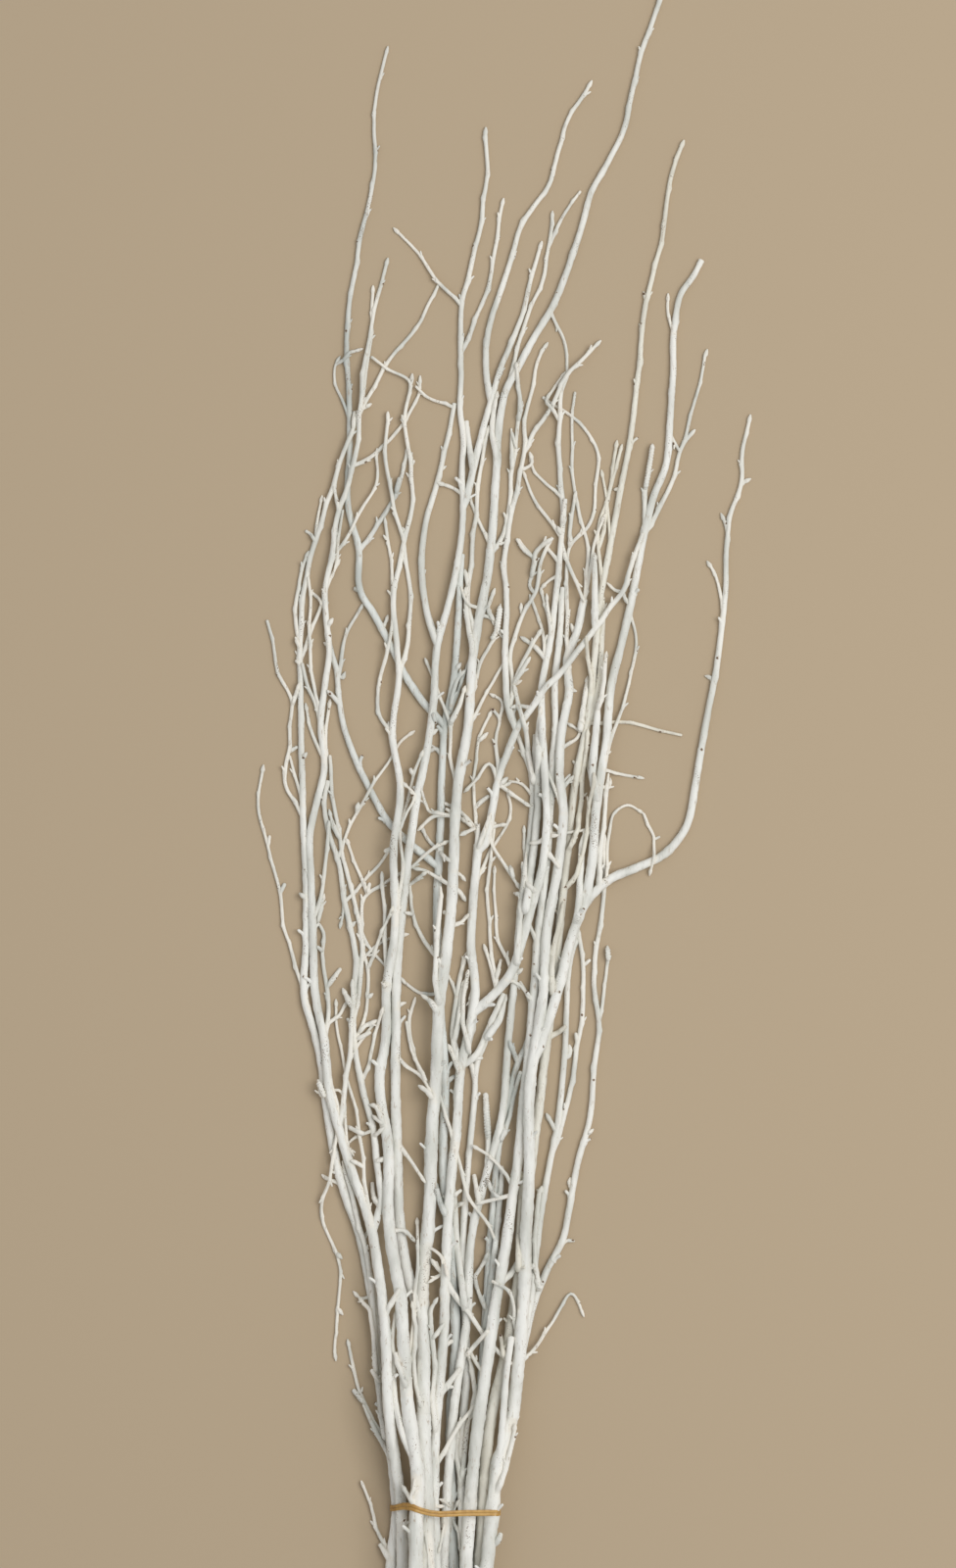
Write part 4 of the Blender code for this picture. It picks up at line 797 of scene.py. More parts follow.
# %% Fine twigs and catkins
# Every fine twig, in the same form.
FINE_TWIGS = (
    (2.0, ((571, 430), (562, 419), (557, 410), (567, 395), (577, 380))),
    (1.9, ((343, 372), (351, 367), (357, 360), (370, 356))),
    (1.7, ((657, 830), (668, 853), (667, 873), (663, 893))),
    (1.5, ((667, 855), (673, 853))),
    (1.6, ((323, 603), (327, 612), (330, 620))),
    (2.6, ((294, 768), (298, 766), (302, 763))),
    (2.0, ((374, 912), (370, 900), (362, 879), (354, 856))),
    (1.8, ((460, 830), (448, 831), (438, 829), (434, 820), (431, 808))),
    (2.0, ((436, 1104), (427, 1088), (420, 1070), (415, 1043))),
    (2.2, ((369, 1103), (376, 1087), (382, 1066), (387, 1045), (391, 1028))),
    (3.0, ((335, 1006), (340, 999), (347, 989))),
    (2.4, ((541, 570), (534, 561), (528, 551))),
    (1.8, ((690, 443), (693, 460))),
    (4.0, ((478, 480), (479, 460), (476, 430))),
    (4.0, ((453, 1240), (449, 1225), (446, 1212))),
    (1.8, ((523, 440), (527, 457))),
    (3.0, ((420, 1532), (418, 1520), (411, 1510))),
    (2.4, ((419, 1522), (423, 1512), (424, 1503))),
    (3.2, ((409, 1560), (412, 1552), (415, 1545))),
    (1.6, ((436, 1533), (446, 1532), (453, 1533))),
    (1.8, ((434, 1548), (437, 1570), (438, 1600))),
    (1.8, ((454, 1545), (452, 1560), (448, 1580))),
    (1.6, ((466, 1545), (468, 1560), (470, 1580))),
    (2.5, ((573, 546), (569, 538))),
    (3.5, ((573, 540), (576, 525), (577, 510))),
    (2.5, ((579, 560), (581, 545), (585, 520), (588, 502))),
    (2.5, ((634, 500), (628, 500))),
    (3.0, ((545, 590), (546, 565), (550, 560), (560, 553), (564, 550))),
    (2.6, ((503, 634), (497, 622), (501, 610), (505, 601))),
    (2.6, ((526, 698), (532, 688), (541, 671))),
    (2.2, ((526, 700), (532, 695))),
    (2.0, ((636, 606), (640, 616))),
    (2.6, ((604, 710), (603, 690), (601, 668), (598, 650))),
    (2.6, ((582, 703), (588, 705))),
    (3.2, ((544, 800), (541, 775), (537, 750), (531, 722), (525, 700))),
    (2.6, ((546, 725), (538, 722), (530, 720), (522, 722))),
    (2.2, ((574, 808), (578, 799), (585, 792))),
    (3.2, ((585, 870), (590, 845), (592, 820), (595, 795), (597, 770), (600, 745))),
    (2.6, ((581, 910), (588, 892), (595, 872), (598, 850), (601, 825), (603, 805), (606, 790))),
    (2.8, ((557, 853), (550, 859), (541, 860))),
    (2.4, ((561, 853), (569, 852))),
    (3.0, ((560, 868), (565, 876), (570, 884))),
    (2.8, ((526, 897), (521, 884))),
    (3.0, ((512, 800), (518, 794))),
    (2.6, ((512, 802), (521, 798))),
    (2.0, ((322, 553), (319, 546), (313, 542))),
    (2.6, ((360, 436), (361, 428), (362, 421))),
    (2.4, ((372, 420), (379, 413))),
    (3.4, ((403, 503), (406, 496), (408, 488))),
    (2.4, ((418, 475), (422, 471))),
    (2.4, ((413, 430), (410, 424))),
    (2.0, ((432, 585), (435, 581))),
    (2.0, ((346, 520), (343, 509), (341, 497))),
    (3.0, ((337, 640), (340, 632))),
    (2.0, ((336, 660), (331, 657))),
    (3.0, ((344, 718), (340, 711), (335, 705))),
    (2.2, ((306, 663), (302, 651))),
    (2.2, ((307, 678), (303, 675))),
    (2.4, ((300, 720), (303, 708), (306, 697))),
    (2.4, ((309, 776), (313, 769))),
    (3.4, ((367, 604), (362, 601))),
    (3.0, ((424, 793), (420, 786))),
    (3.0, ((441, 748), (446, 744))),
    (2.6, ((450, 735), (445, 738))),
    (2.8, ((315, 920), (311, 916), (306, 912))),
    (2.8, ((287, 912), (290, 903))),
    (2.2, ((277, 864), (275, 854))),
    (2.4, ((330, 970), (325, 966))),
    (2.0, ((359, 946), (363, 941))),
    (3.0, ((363, 830), (366, 820))),
    (2.6, ((375, 912), (377, 902))),
    (3.0, ((401, 866), (394, 868))),
    (2.0, ((375, 990), (381, 973), (387, 958), (394, 942), (401, 925))),
    (2.6, ((421, 933), (414, 931))),
    (2.2, ((419, 903), (427, 896), (436, 889))),
    (3.0, ((459, 934), (453, 931))),
    (2.0, ((450, 868), (460, 879))),
    (2.6, ((479, 600), (477, 590), (475, 582))),
    (1.8, ((487, 621), (479, 618), (474, 611), (471, 600))),
    (2.6, ((458, 725), (461, 710), (466, 696), (475, 684))),
    (2.6, ((466, 685), (470, 677))),
    (2.6, ((494, 757), (498, 748))),
    (3.0, ((485, 826), (490, 819), (498, 813))),
    (3.4, ((488, 860), (488, 850), (488, 841))),
    (2.6, ((489, 866), (492, 852), (497, 840), (501, 830))),
    (2.2, ((486, 845), (478, 849), (470, 852))),
    (3.0, ((464, 905), (470, 911), (475, 919))),
    (2.4, ((465, 947), (471, 941), (478, 933))),
    (2.4, ((531, 913), (525, 911))),
    (3.0, ((548, 911), (542, 905), (537, 900))),
    (3.2, ((359, 1028), (355, 1020), (350, 1009))),
    (3.0, ((376, 1018), (380, 1014))),
    (2.2, ((337, 1045), (347, 1035), (354, 1022))),
    (2.8, ((367, 1055), (372, 1047), (385, 1041))),
    (3.2, ((364, 1062), (370, 1057), (377, 1054))),
    (2.2, ((394, 1006), (390, 1002))),
    (2.2, ((407, 1029), (410, 1024), (414, 1023))),
    (3.0, ((441, 1122), (436, 1112), (428, 1107))),
    (3.0, ((456, 1106), (463, 1099))),
    (2.8, ((471, 1096), (464, 1079), (458, 1066))),
    (3.0, ((393, 1149), (387, 1137), (384, 1128), (378, 1127))),
    (2.6, ((391, 1148), (387, 1142), (381, 1138))),
    (3.0, ((371, 1157), (362, 1152), (354, 1149))),
    (2.6, ((384, 1160), (392, 1150))),
    (3.0, ((478, 1075), (473, 1045), (473, 1015), (478, 990))),
    (2.4, ((506, 1000), (508, 988), (511, 980))),
    (2.6, ((529, 996), (533, 989))),
    (3.0, ((531, 1086), (525, 1075), (520, 1062))),
    (3.2, ((512, 1165), (520, 1140), (525, 1118), (531, 1094))),
    (3.4, ((566, 1060), (571, 1053), (577, 1047))),
    (2.8, ((577, 1081), (582, 1077), (581, 1067))),
    (2.4, ((591, 1066), (588, 1055))),
    (2.6, ((597, 985), (601, 980))),
    (2.4, ((601, 1160), (605, 1152))),
    (3.2, ((568, 1156), (563, 1147), (558, 1137))),
    (2.6, ((372, 1192), (366, 1187), (359, 1184))),
    (3.4, ((383, 1235), (381, 1222), (380, 1207))),
    (3.0, ((397, 1181), (390, 1182), (384, 1184))),
    (3.0, ((450, 1300), (446, 1292), (441, 1284))),
    (2.0, ((448, 1303), (437, 1307))),
    (2.6, ((464, 1218), (470, 1214))),
    (2.6, ((466, 1230), (474, 1226))),
    (3.4, ((489, 1225), (486, 1212), (484, 1199))),
    (3.0, ((510, 1222), (502, 1214), (497, 1202))),
    (2.6, ((488, 1336), (489, 1320), (485, 1302), (491, 1289), (498, 1278))),
    (2.6, ((440, 1365), (447, 1357), (453, 1349))),
    (3.4, ((455, 1372), (461, 1367))),
    (3.0, ((475, 1382), (486, 1369), (497, 1356))),
    (3.0, ((515, 1385), (513, 1374), (511, 1362))),
    (3.6, ((396, 1338), (400, 1327), (408, 1312))),
    (2.8, ((345, 1277), (349, 1284))),
    (2.8, ((347, 1335), (350, 1341))),
    (3.6, ((416, 1412), (409, 1394), (404, 1377))),
    (3.6, ((536, 1293), (545, 1289))),
    (3.6, ((388, 1408), (382, 1400), (380, 1396))),
    (3.4, ((372, 1432), (366, 1424), (361, 1418))),
    (1.6, ((459, 1537), (455, 1529), (449, 1526))),
    (1.6, ((463, 1545), (466, 1533), (470, 1528))),
    (3.8, ((503, 1574), (507, 1572), (511, 1562))),
    (3.4, ((397, 1592), (393, 1583), (388, 1575))),
    (2.4, ((382, 1556), (379, 1552))),
)
# The catkins, which are thick, scaly and blunt, in the same form too.
CATKINS = (
    (4.0, ((511, 618), (509, 632), (507, 645), (503, 651))),
    (3.8, ((326, 1102), (328, 1110), (331, 1117))),
    (3.6, ((620, 962), (620, 970), (621, 978))),
    (3.6, ((659, 500), (662, 480), (666, 456))),
    (4.4, ((500, 1163), (498, 1140), (496, 1117))),
)
print(len(FINE_TWIGS), "fine twigs and", len(CATKINS), "catkins")

# %% Heights in the gaps or on top
FINE_SLOPE = 0.6
FINE_REACH = 2.0 * MM


def height_at(strand, place):
    """A strand's height at its point nearest to a place, how far that is, and its radius there."""
    distance, segment, share = nearest_on_route(strand.points, place)
    return along(strand.heights, segment, share), distance, along(strand.radii, segment, share)


def taken_heights(twig, carrier, settled):
    """For each place of a twig, the (bottom, top) of every height that another strand takes up."""
    taken = [[] for _ in twig.points]
    low = twig.points.min(axis=0) - FINE_REACH
    high = twig.points.max(axis=0) + FINE_REACH
    for other in settled:
        if (other.points.max(axis=0) < low).any() or (other.points.min(axis=0) > high).any():
            continue
        for index, place in enumerate(twig.points):
            height, distance, radius = height_at(other, place)
            reach = radius + twig.radii[index] + CROSSING_GAP
            in_fork = other is carrier and twig.arc[index] < radius + FINE_REACH
            if distance < reach and not in_fork:
                rise = math.sqrt(reach**2 - distance**2)
                taken[index].append((height - rise, height + rise))
    return taken


def free_heights(twig, carrier, settled, deep):
    """Heights that keep a small twig clear of the settled strands, in the nearest gap or on top."""
    root_height = height_at(carrier, twig.points[0])[0]
    needed = np.maximum(twig.radii, root_height if deep else 0)
    for index, spans in enumerate(taken_heights(twig, carrier, settled)):
        for bottom, top in sorted(spans):
            if needed[index] < top and (bottom < needed[index] or not deep):
                needed[index] = top
    needed[0] = root_height
    for _ in range(len(needed)):
        needed[1:] = np.maximum(needed[1:], needed[:-1] - twig.lengths * FINE_SLOPE)
        needed[1:-1] = np.maximum(needed[1:-1], needed[2:] - twig.lengths[1:] * FINE_SLOPE)
    return needed


print("a fine twig rises by up to", FINE_SLOPE, "mm for each mm of its length")

# %% Lay the smallest wood
FINE_STEP = 3.0 * MM
FEWEST_PLACES = 4
LOW_TIP = 16.0 * MM
LOW_TIP_SHARE = 0.35


def space_evenly(twig):
    """Gives a twig evenly spaced places, close enough to bend over whatever it crosses."""
    stops = np.linspace(0, twig.arc[-1], max(FEWEST_PLACES, round(twig.arc[-1] / FINE_STEP)))
    columns = [np.interp(stops, twig.arc, twig.points[:, axis]) for axis in (0, 1)]
    twig.points = np.column_stack(columns)
    twig.radii = np.interp(stops, twig.arc, twig.radii)
    twig.arc = stops
    twig.lengths = np.diff(stops)
    twig.route = twig.points


settled = list(strands)
catkins = set()
kinds = (("low", LOW_STRANDS), ("fine", FINE_TWIGS), ("catkin", CATKINS))
for kind, thickness, route in [(kind, *row) for kind, rows in kinds for row in rows]:
    root = on_table(*route[0])
    nearest = min(settled, key=lambda strand: nearest_on_route(strand.points, root)[0])
    twig = grow_twig(limbs[nearest.limb], thickness * MM, route)
    space_evenly(twig)
    if kind == "low":
        twig.radii *= np.clip(LOW_TIP_SHARE + (twig.arc[-1] - twig.arc) / LOW_TIP, 0, 1)
    twig.heights = free_heights(twig, twig.carrier, settled, kind == "low")
    limbs[twig.limb].append(twig)
    if kind == "low":
        settled.append(twig)
    elif kind == "catkin":
        catkins.add(twig)
print(sum(len(group) for group in limbs.values()), "strands of wood in all")

# %% [markdown]
# ## Wood, ring by ring
#
# A birch whip is never a smooth pipe. It swells at each bud scar, bends a little from bud to bud,
# and flares where a twig leaves it. A curve with a round bevel would give a plain pipe, so each
# strand is built from rings instead: first a smooth line through its places, then for every ring the
# distance of each point from that line, with the swellings and the fine ridges worked in.

# %% A smooth line through the places
RING_STEP = 2.2 * MM
FEWEST_RINGS = 6


def smooth_line(places, step):
    """Evenly spaced points on a smooth curve through these places, and the distances along it."""
    runs = np.linalg.norm(np.diff(places, axis=0), axis=1)
    slopes = np.diff(places, axis=0) / runs[:, None]
    tangents = np.vstack([slopes[:1], slopes[1:], slopes[-1:]])
    weight = runs[:, None]
    inner = slopes[:-1] * weight[1:] + slopes[1:] * weight[:-1]
    tangents[1:-1] = inner / (weight[1:] + weight[:-1])
    dense = []
    for index, run in enumerate(runs):
        t = np.arange(0, 1, min(0.5, step / run / 2))[:, None]
        start, end = places[index], places[index + 1]
        leave, arrive = tangents[index] * run, tangents[index + 1] * run
        dense.append(start * (2 * t**3 - 3 * t**2 + 1) + leave * (t**3 - 2 * t**2 + t)
                     + end * (3 * t**2 - 2 * t**3) + arrive * (t**3 - t**2))
    dense = np.vstack([*dense, places[-1:]])
    arc = np.concatenate([[0], np.linalg.norm(np.diff(dense, axis=0), axis=1).cumsum()])
    stops = np.linspace(0, arc[-1], max(FEWEST_RINGS, round(arc[-1] / step) + 1))
    return np.stack([np.interp(stops, arc, dense[:, axis]) for axis in range(3)], axis=1), stops


def line_of(strand):
    """The strand's centreline in space, through every place of its route, and the distance along it."""
    heights = [height_at(strand, place)[0] for place in strand.route]
    return smooth_line(np.column_stack([strand.route, heights]), RING_STEP)


longest = max(strands, key=lambda strand: strand.arc[-1])
print(longest.limb, "gets", len(line_of(longest)[0]), "rings")

# %% Bud scars and the rings between them
PAINT_COAT = 0.36 * MM
THICK_RADIUS = 2.6 * MM
THIN_RADIUS = 1.5 * MM
NODE_SPACING = (13.0 * MM, 27.0 * MM)
THICK_NODE_SPACING = (30.0 * MM, 70.0 * MM)
THIN_SWELL = (0.22, 0.5)
THICK_SWELL = (0.05, 0.16)
SCAR_SCATTER = 0.9
SCAR_RINGS = (-1.5, -0.75, 0, 0.75, 1.5)
SCAR_MARGIN = 0.4 * MM
RIDGES = 6
RIDGE_WAVES = (1, 4)
RIDGE_PITCH = (9.0 * MM, 70.0 * MM)
TIP_BUD_SHARE = 0.75
TIP_BUD_BELOW = 1.5 * MM
TIP_BUD_RADIUS = (1.25 * MM, 1.65 * MM)
TIP_BUD_LEAST = 1.2
TIP_BUD_LENGTH = 5.0 * MM
TIP_BUD_RINGS = 8
SCALE_PITCH = 2.1 * MM
RINGS_PER_SCALE = 4
FEWEST_SCALE_RINGS = 8
FINEST_RING = 0.3 * MM


class Growth:
    """The chance details of one strand: bud scars, ridges and tip, the same on every run."""

    def __init__(self, strand, number):
        self.chance = random.Random(f"{strand.limb} {number}")
        self.scaly = strand in catkins
        self.flare = 0.0
        line, stops = line_of(strand)
        own = np.interp(stops / stops[-1], strand.arc / strand.arc[-1], strand.radii) + PAINT_COAT
        self.scars = self.scars_on(stops, own)
        self.stops = self.ring_places(stops)
        self.line = np.stack([np.interp(self.stops, stops, line[:, axis]) for axis in range(3)], axis=1)
        self.line[:, 2] += PAINT_COAT
        self.radii = np.interp(self.stops, stops, own)
        self.tip_bud = self.tip_bud_radius()
        self.ridges = []
        for _ in range(RIDGES):
            waves = self.chance.randint(*RIDGE_WAVES)
            pitch = math.tau / self.chance.uniform(*RIDGE_PITCH)
            self.ridges.append((waves, pitch, self.chance.uniform(0, math.tau)))

    def scars_on(self, stops, own):
        """(place, radius, swelling, turn, thickness) of each bud scar, on either side by turns."""
        chance = self.chance
        scars = []
        place = chance.uniform(*NODE_SPACING) / 2
        side = 1
        while place < stops[-1] - TIP_BUD_LENGTH and not self.scaly:
            radius = float(np.interp(place, stops, own))
            thick = min(max((radius - THIN_RADIUS) / (THICK_RADIUS - THIN_RADIUS), 0), 1)
            swell = chance.uniform(*THIN_SWELL) * (1 - thick) + chance.uniform(*THICK_SWELL) * thick
            turn = (0 if side > 0 else math.pi) + chance.uniform(-SCAR_SCATTER, SCAR_SCATTER)
            scars.append((place, radius, swell, turn, thick))
            place += chance.uniform(*(THICK_NODE_SPACING if thick > 0.5 else NODE_SPACING))
            side = -side
        return scars

    def ring_places(self, even):
        """The even places, and closer ones at each scar, on the tip bud and on a scaly catkin."""
        if self.scaly:
            scale_rings = round(even[-1] / SCALE_PITCH * RINGS_PER_SCALE)
            return np.linspace(0, even[-1], max(FEWEST_SCALE_RINGS, scale_rings))
        places = list(even) + list(even[-1] - np.linspace(0, TIP_BUD_LENGTH, TIP_BUD_RINGS))
        for place, radius, *_ in self.scars:
            places += [place + share * (radius + SCAR_MARGIN) for share in SCAR_RINGS]
        places = np.unique(np.clip(places, 0, even[-1]))
        kept = [0.0]
        for place in places:
            if place - kept[-1] > FINEST_RING and even[-1] - place > FINEST_RING:
                kept.append(place)
        return np.array(kept + [even[-1]])

    def tip_bud_radius(self):
        """How thick the bud at the tip is, or None where the tip has none."""
        if self.radii[-1] < TIP_BUD_BELOW and self.chance.random() < TIP_BUD_SHARE and not self.scaly:
            return max(self.chance.uniform(*TIP_BUD_RADIUS), self.radii[-1] * TIP_BUD_LEAST)
        return None


print("scars every", [round(value / MM) for value in NODE_SPACING], "mm on thin twigs")

# %% A slight zigzag, and a firm seat in the fork
ZIGZAG = 0.6 * MM
ZIGZAG_SPREAD = (0.5, 1.3)
ZIGZAG_LOSS = 0.6
FORK_SHARE = 0.9
FORK_EASE = 9.0 * MM
FORK_RADII = 3
MOST_FLARE = 0.4
NO_LENGTH = 1e-9


def unit_rows(rows):
    """The same directions, each one unit long."""
    return rows / np.maximum(np.linalg.norm(rows, axis=1), NO_LENGTH)[:, None]


def bend_sideways(growth):
    """Shifts the line a little to alternate sides from scar to scar, but not where it is rooted."""
    if len(growth.scars) < 2:
        return
    places = [0.0] + [scar[0] for scar in growth.scars] + [growth.stops[-1]]
    offsets = [0.0]
    for index, (*_, thick) in enumerate(growth.scars):
        sign = 1 if index % 2 else -1
        offsets.append(sign * ZIGZAG * (1 - ZIGZAG_LOSS * thick) * growth.chance.uniform(*ZIGZAG_SPREAD))
    offsets.append(0.0)
    shift = np.interp(growth.stops, places, offsets)
    forward = np.gradient(growth.line, axis=0)
    sideways = unit_rows(np.column_stack([-forward[:, 1], forward[:, 0]]))
    growth.line[:, :2] += sideways * shift[:, None]


def set_on(growth, carrier):
    """Starts a strand on its carrier's line, and keeps it thinner than the carrier there."""
    ring = int(np.linalg.norm(carrier.line - growth.line[0], axis=1).argmin())
    ease = np.exp(-growth.stops / FORK_EASE)
    growth.line += (carrier.line[ring] - growth.line[0]) * ease[:, None]
    allowed = carrier.radii[ring] * FORK_SHARE
    freed = np.clip(growth.stops / (FORK_RADII * carrier.radii[ring]), 0, 1)
    growth.radii = np.minimum(growth.radii, allowed + np.maximum(growth.radii - allowed, 0) * freed)
    growth.flare = min(MOST_FLARE, max(allowed / growth.radii[0] - 1, 0))


growths = {}
growth_of = {}
for name, group in limbs.items():
    growths[name] = []
    for number, strand in enumerate(group):
        growth = Growth(strand, number)
        bend_sideways(growth)
        if strand.carrier:
            set_on(growth, growth_of[strand.carrier])
        growth_of[strand] = growth
        growths[name].append(growth)
print(sum(len(growth.scars) for growth in growth_of.values()), "bud scars")

# %% Swellings, ridges and scales
RIDGE_DEPTH = 0.016
SCAR_LENGTH = 1.1
SCAR_LENGTH_ADDED = 0.5 * MM
SCAR_ALL_ROUND = 0.62
SCAR_ONE_SIDED = 0.38
FLARE_LENGTH = 1.6
FLARE_LENGTH_ADDED = 0.4 * MM
SCALE_DEPTH = 0.13
CATKIN_NECK = 0.3
CATKIN_NECK_POWER = 4
TIP_BUD_FULLNESS = 0.8
TIP_BUD_POINT = 0.4


def radius_at(growth, stops, turns):
    """The distance of the surface from the line, for each ring (rows) and turn (columns)."""
    stops = np.atleast_1d(stops)[:, None]
    turns = np.atleast_1d(turns)[None, :]
    base = np.interp(stops, growth.stops, growth.radii)
    share = np.zeros(np.broadcast(stops, turns).shape)
    for waves, pitch, phase in growth.ridges:
        share += RIDGE_DEPTH * np.sin(waves * turns + pitch * stops + phase)
    for place, radius, swell, turn, _ in growth.scars:
        near = np.exp(-(((stops - place) / (SCAR_LENGTH * radius + SCAR_LENGTH_ADDED)) ** 2))
        share += swell * near * (SCAR_ALL_ROUND + SCAR_ONE_SIDED * np.cos(turns - turn))
    share += growth.flare * np.exp(-stops / (FLARE_LENGTH * growth.radii[0] + FLARE_LENGTH_ADDED))
    if growth.scaly:
        share += SCALE_DEPTH * np.sin(math.tau * stops / SCALE_PITCH + turns)
        share -= CATKIN_NECK * (1 - stops / growth.stops[-1]) ** CATKIN_NECK_POWER
    radii = base * (1 + share)
    if growth.tip_bud:
        t = np.clip((stops - growth.stops[-1]) / TIP_BUD_LENGTH + 1, 0, 1)
        swelling = (growth.tip_bud - growth.radii[-1]) * np.sin(math.pi * t**TIP_BUD_FULLNESS)
        radii += swelling - TIP_BUD_POINT * radii * t**3
    return radii


thickest = max(growth_of.values(), key=lambda growth: growth.radii.max())
print("the thickest wood is", round(2 * thickest.radii.max() / MM, 1), "mm thick")

# %% A closed skin of rings
STEM_SIDES = 16
LIMB_SIDES = 12
TWIG_SIDES = 9
ROUND_TIP = ((0.35, 0.93), (0.7, 0.7), (0.95, 0.32))
BROKEN_TIP = 0.4
ROUGHNESS = 0.05
GRAIN_ALONG = 0.7
GRAIN_ROUND = 0.4
GRAIN_SPREAD = 1.8
GRAIN_LIMIT = 1.5
MOST_SEEDS = 10**6


def frames_along(line):
    """Forward, sideways and upward directions of each ring of a line."""
    forward = np.gradient(line, axis=0)
    forward /= np.linalg.norm(forward, axis=1)[:, None]
    sideways = unit_rows(np.cross(forward, (0, 0, 1)))
    return forward, sideways, np.cross(sideways, forward)


def ring_faces(count, sides, closed=False):
    """The faces between the rings of a tube, and from its last ring to its first if it is closed."""
    faces = []
    for ring in range(count if closed else count - 1):
        here = ring * sides
        there = (ring + 1) % count * sides
        for side in range(sides):
            beside = (side + 1) % sides
            faces.append((here + side, there + side, there + beside, here + beside))
    return faces


def skin(rings, start_point, end_point):
    """Vertices and faces of a closed tube through rings of points, pointed at both ends."""
    count, sides, _ = rings.shape
    vertices = np.vstack([rings.reshape(-1, 3), [start_point], [end_point]])
    faces = ring_faces(count, sides)
    last = (count - 1) * sides
    for side in range(sides):
        beside = (side + 1) % sides
        faces.append((side, beside, count * sides))
        faces.append((last + side, count * sides + 1, last + beside))
    return vertices, faces


def round_line(sideways, upward, turns):
    """The outward directions at these turns round each ring."""
    return sideways[:, None] * np.cos(turns)[:, None] + upward[:, None] * np.sin(turns)[:, None]


def tube(line, radii, end_reach):
    """A closed tube round a line, with these radii for each ring and side, and a rounded end."""
    forward, sideways, upward = frames_along(line)
    out = round_line(sideways, upward, np.linspace(0, math.tau, radii.shape[1], endpoint=False))
    rings = line[:, None] + out * radii[:, :, None]
    tip = []
    for reach, share in ROUND_TIP:
        centre = line[-1] + forward[-1] * reach * end_reach
        tip.append(centre + out[-1] * radii[-1][:, None] * share)
    rings = np.concatenate([rings, np.array(tip)])
    return skin(rings, line[0], line[-1] + forward[-1] * end_reach)


def sides_of(radius):
    """How many sides wood of this radius is given."""
    if radius < THIN_RADIUS:
        return TWIG_SIDES
    return LIMB_SIDES if radius < THICK_RADIUS else STEM_SIDES


def wood_of(growth):
    """The skin of one strand: its swellings, ridges, rough grain and rounded tip."""
    turns = np.linspace(0, math.tau, sides_of(growth.radii.max()), endpoint=False)
    radii = radius_at(growth, growth.stops, turns)
    grain = np.random.default_rng(growth.chance.randrange(MOST_SEEDS)).normal(0, 1, radii.shape)
    before = GRAIN_ALONG * np.roll(grain, 1, axis=0)
    grain = (grain + before + GRAIN_ROUND * np.roll(grain, 1, axis=1)) / GRAIN_SPREAD
    radii *= 1 + ROUGHNESS * np.clip(grain, -GRAIN_LIMIT, GRAIN_LIMIT)
    end = radii[-1].mean()
    return tube(growth.line, radii, end if end < THIN_RADIUS or growth.scaly else end * BROKEN_TIP)


print("wood has", TWIG_SIDES, "to", STEM_SIDES, "sides")

# %% [markdown]
# ## Buds and broken spurs
#
# Thin birch twigs carry a small pointed bud at many scars, pressed forward along the twig. On the
# thicker limbs the side shoots have snapped off and left short spurs, blunt and a little splayed.
# They could be sculpted by hand, but there are hundreds. So both are short tapering tubes, placed
# at the scars by chance with a fixed seed and set into the wood, so that no seam shows.

# %% A short shoot that stands on a strand
SHOOT_SIDES = 8
SHOOT_SET_IN = 0.45
SHOOT_BEND = 0.12
FLOOR_CLEARANCE = 0.15 * MM


def outward_at(growth, place, turn):
    """The ring at this place along a strand, its forward direction and the outward one at a turn."""
    forward, sideways, upward = frames_along(growth.line)
    ring = int(np.searchsorted(growth.stops, place).clip(1, len(growth.stops) - 1))
    return ring, forward[ring], sideways[ring] * math.cos(turn) + upward[ring] * math.sin(turn)


def shoot(growth, place, turn, lean, length, width, profile):
    """A short tube that leaves the strand at this turn and leans towards its tip."""
    ring, forward, out = outward_at(growth, place, turn)
    heading = forward * math.cos(lean) + out * math.sin(lean)
    base = growth.line[ring] + out * growth.radii[ring] * SHOOT_SET_IN
    if (base + heading * length)[2] < width + FLOOR_CLEARANCE:
        return None
    steps = np.linspace(0, 1, len(profile))[:, None]
    line = base + heading * length * steps + out * length * SHOOT_BEND * steps**2
    radii = np.repeat(np.array(profile)[:, None] * width, SHOOT_SIDES, axis=1)
    return tube(line, radii, width * profile[-1])


print("shoots have", SHOOT_SIDES, "sides")

# %% Buds on thin wood, spurs on thick wood
BUD_SHARE = 0.55
BUD_LENGTH = (2.4 * MM, 3.8 * MM)
BUD_WIDTH = (0.2, 0.26)
BUD_LEAN = (0.28, 0.55)
BUD_PROFILE = (0.8, 1.0, 1.06, 0.95, 0.66)
SPUR_SHARE = 0.6
SPUR_LENGTH = (0.8 * MM, 4.4 * MM)
SPUR_WIDTH = (0.85, 1.5)
SPUR_LEAN = (0.5, 1.0)
SPUR_PROFILE = (2.1, 1.5, 1.08, 0.95, 1.0, 0.86)
BROKEN_SHARE = 0.3
BROKEN_WIDTH = 1.3

broken_ends = []


def shoots_of(growth):
    """The buds or spurs at the scars of one strand."""
    made = []
    chance = growth.chance
    for place, radius, _, turn, thick in growth.scars:
        if thick < 0.5:
            if chance.random() > BUD_SHARE:
                continue
            length = chance.uniform(*BUD_LENGTH)
            width = length * chance.uniform(*BUD_WIDTH)
            lean = chance.uniform(*BUD_LEAN)
            made.append(shoot(growth, place, turn, lean, length + radius / 2, width, BUD_PROFILE))
        elif chance.random() < SPUR_SHARE:
            length = chance.uniform(*SPUR_LENGTH) + radius
            width = chance.uniform(*SPUR_WIDTH) * MM
            lean = chance.uniform(*SPUR_LEAN)
            spur = shoot(growth, place, turn, lean, length, width, SPUR_PROFILE)
            made.append(spur)
            if spur and chance.random() < BROKEN_SHARE:
                broken_ends.append((Vector(spur[0][-1]), width * BROKEN_WIDTH))
    return [piece for piece in made if piece]


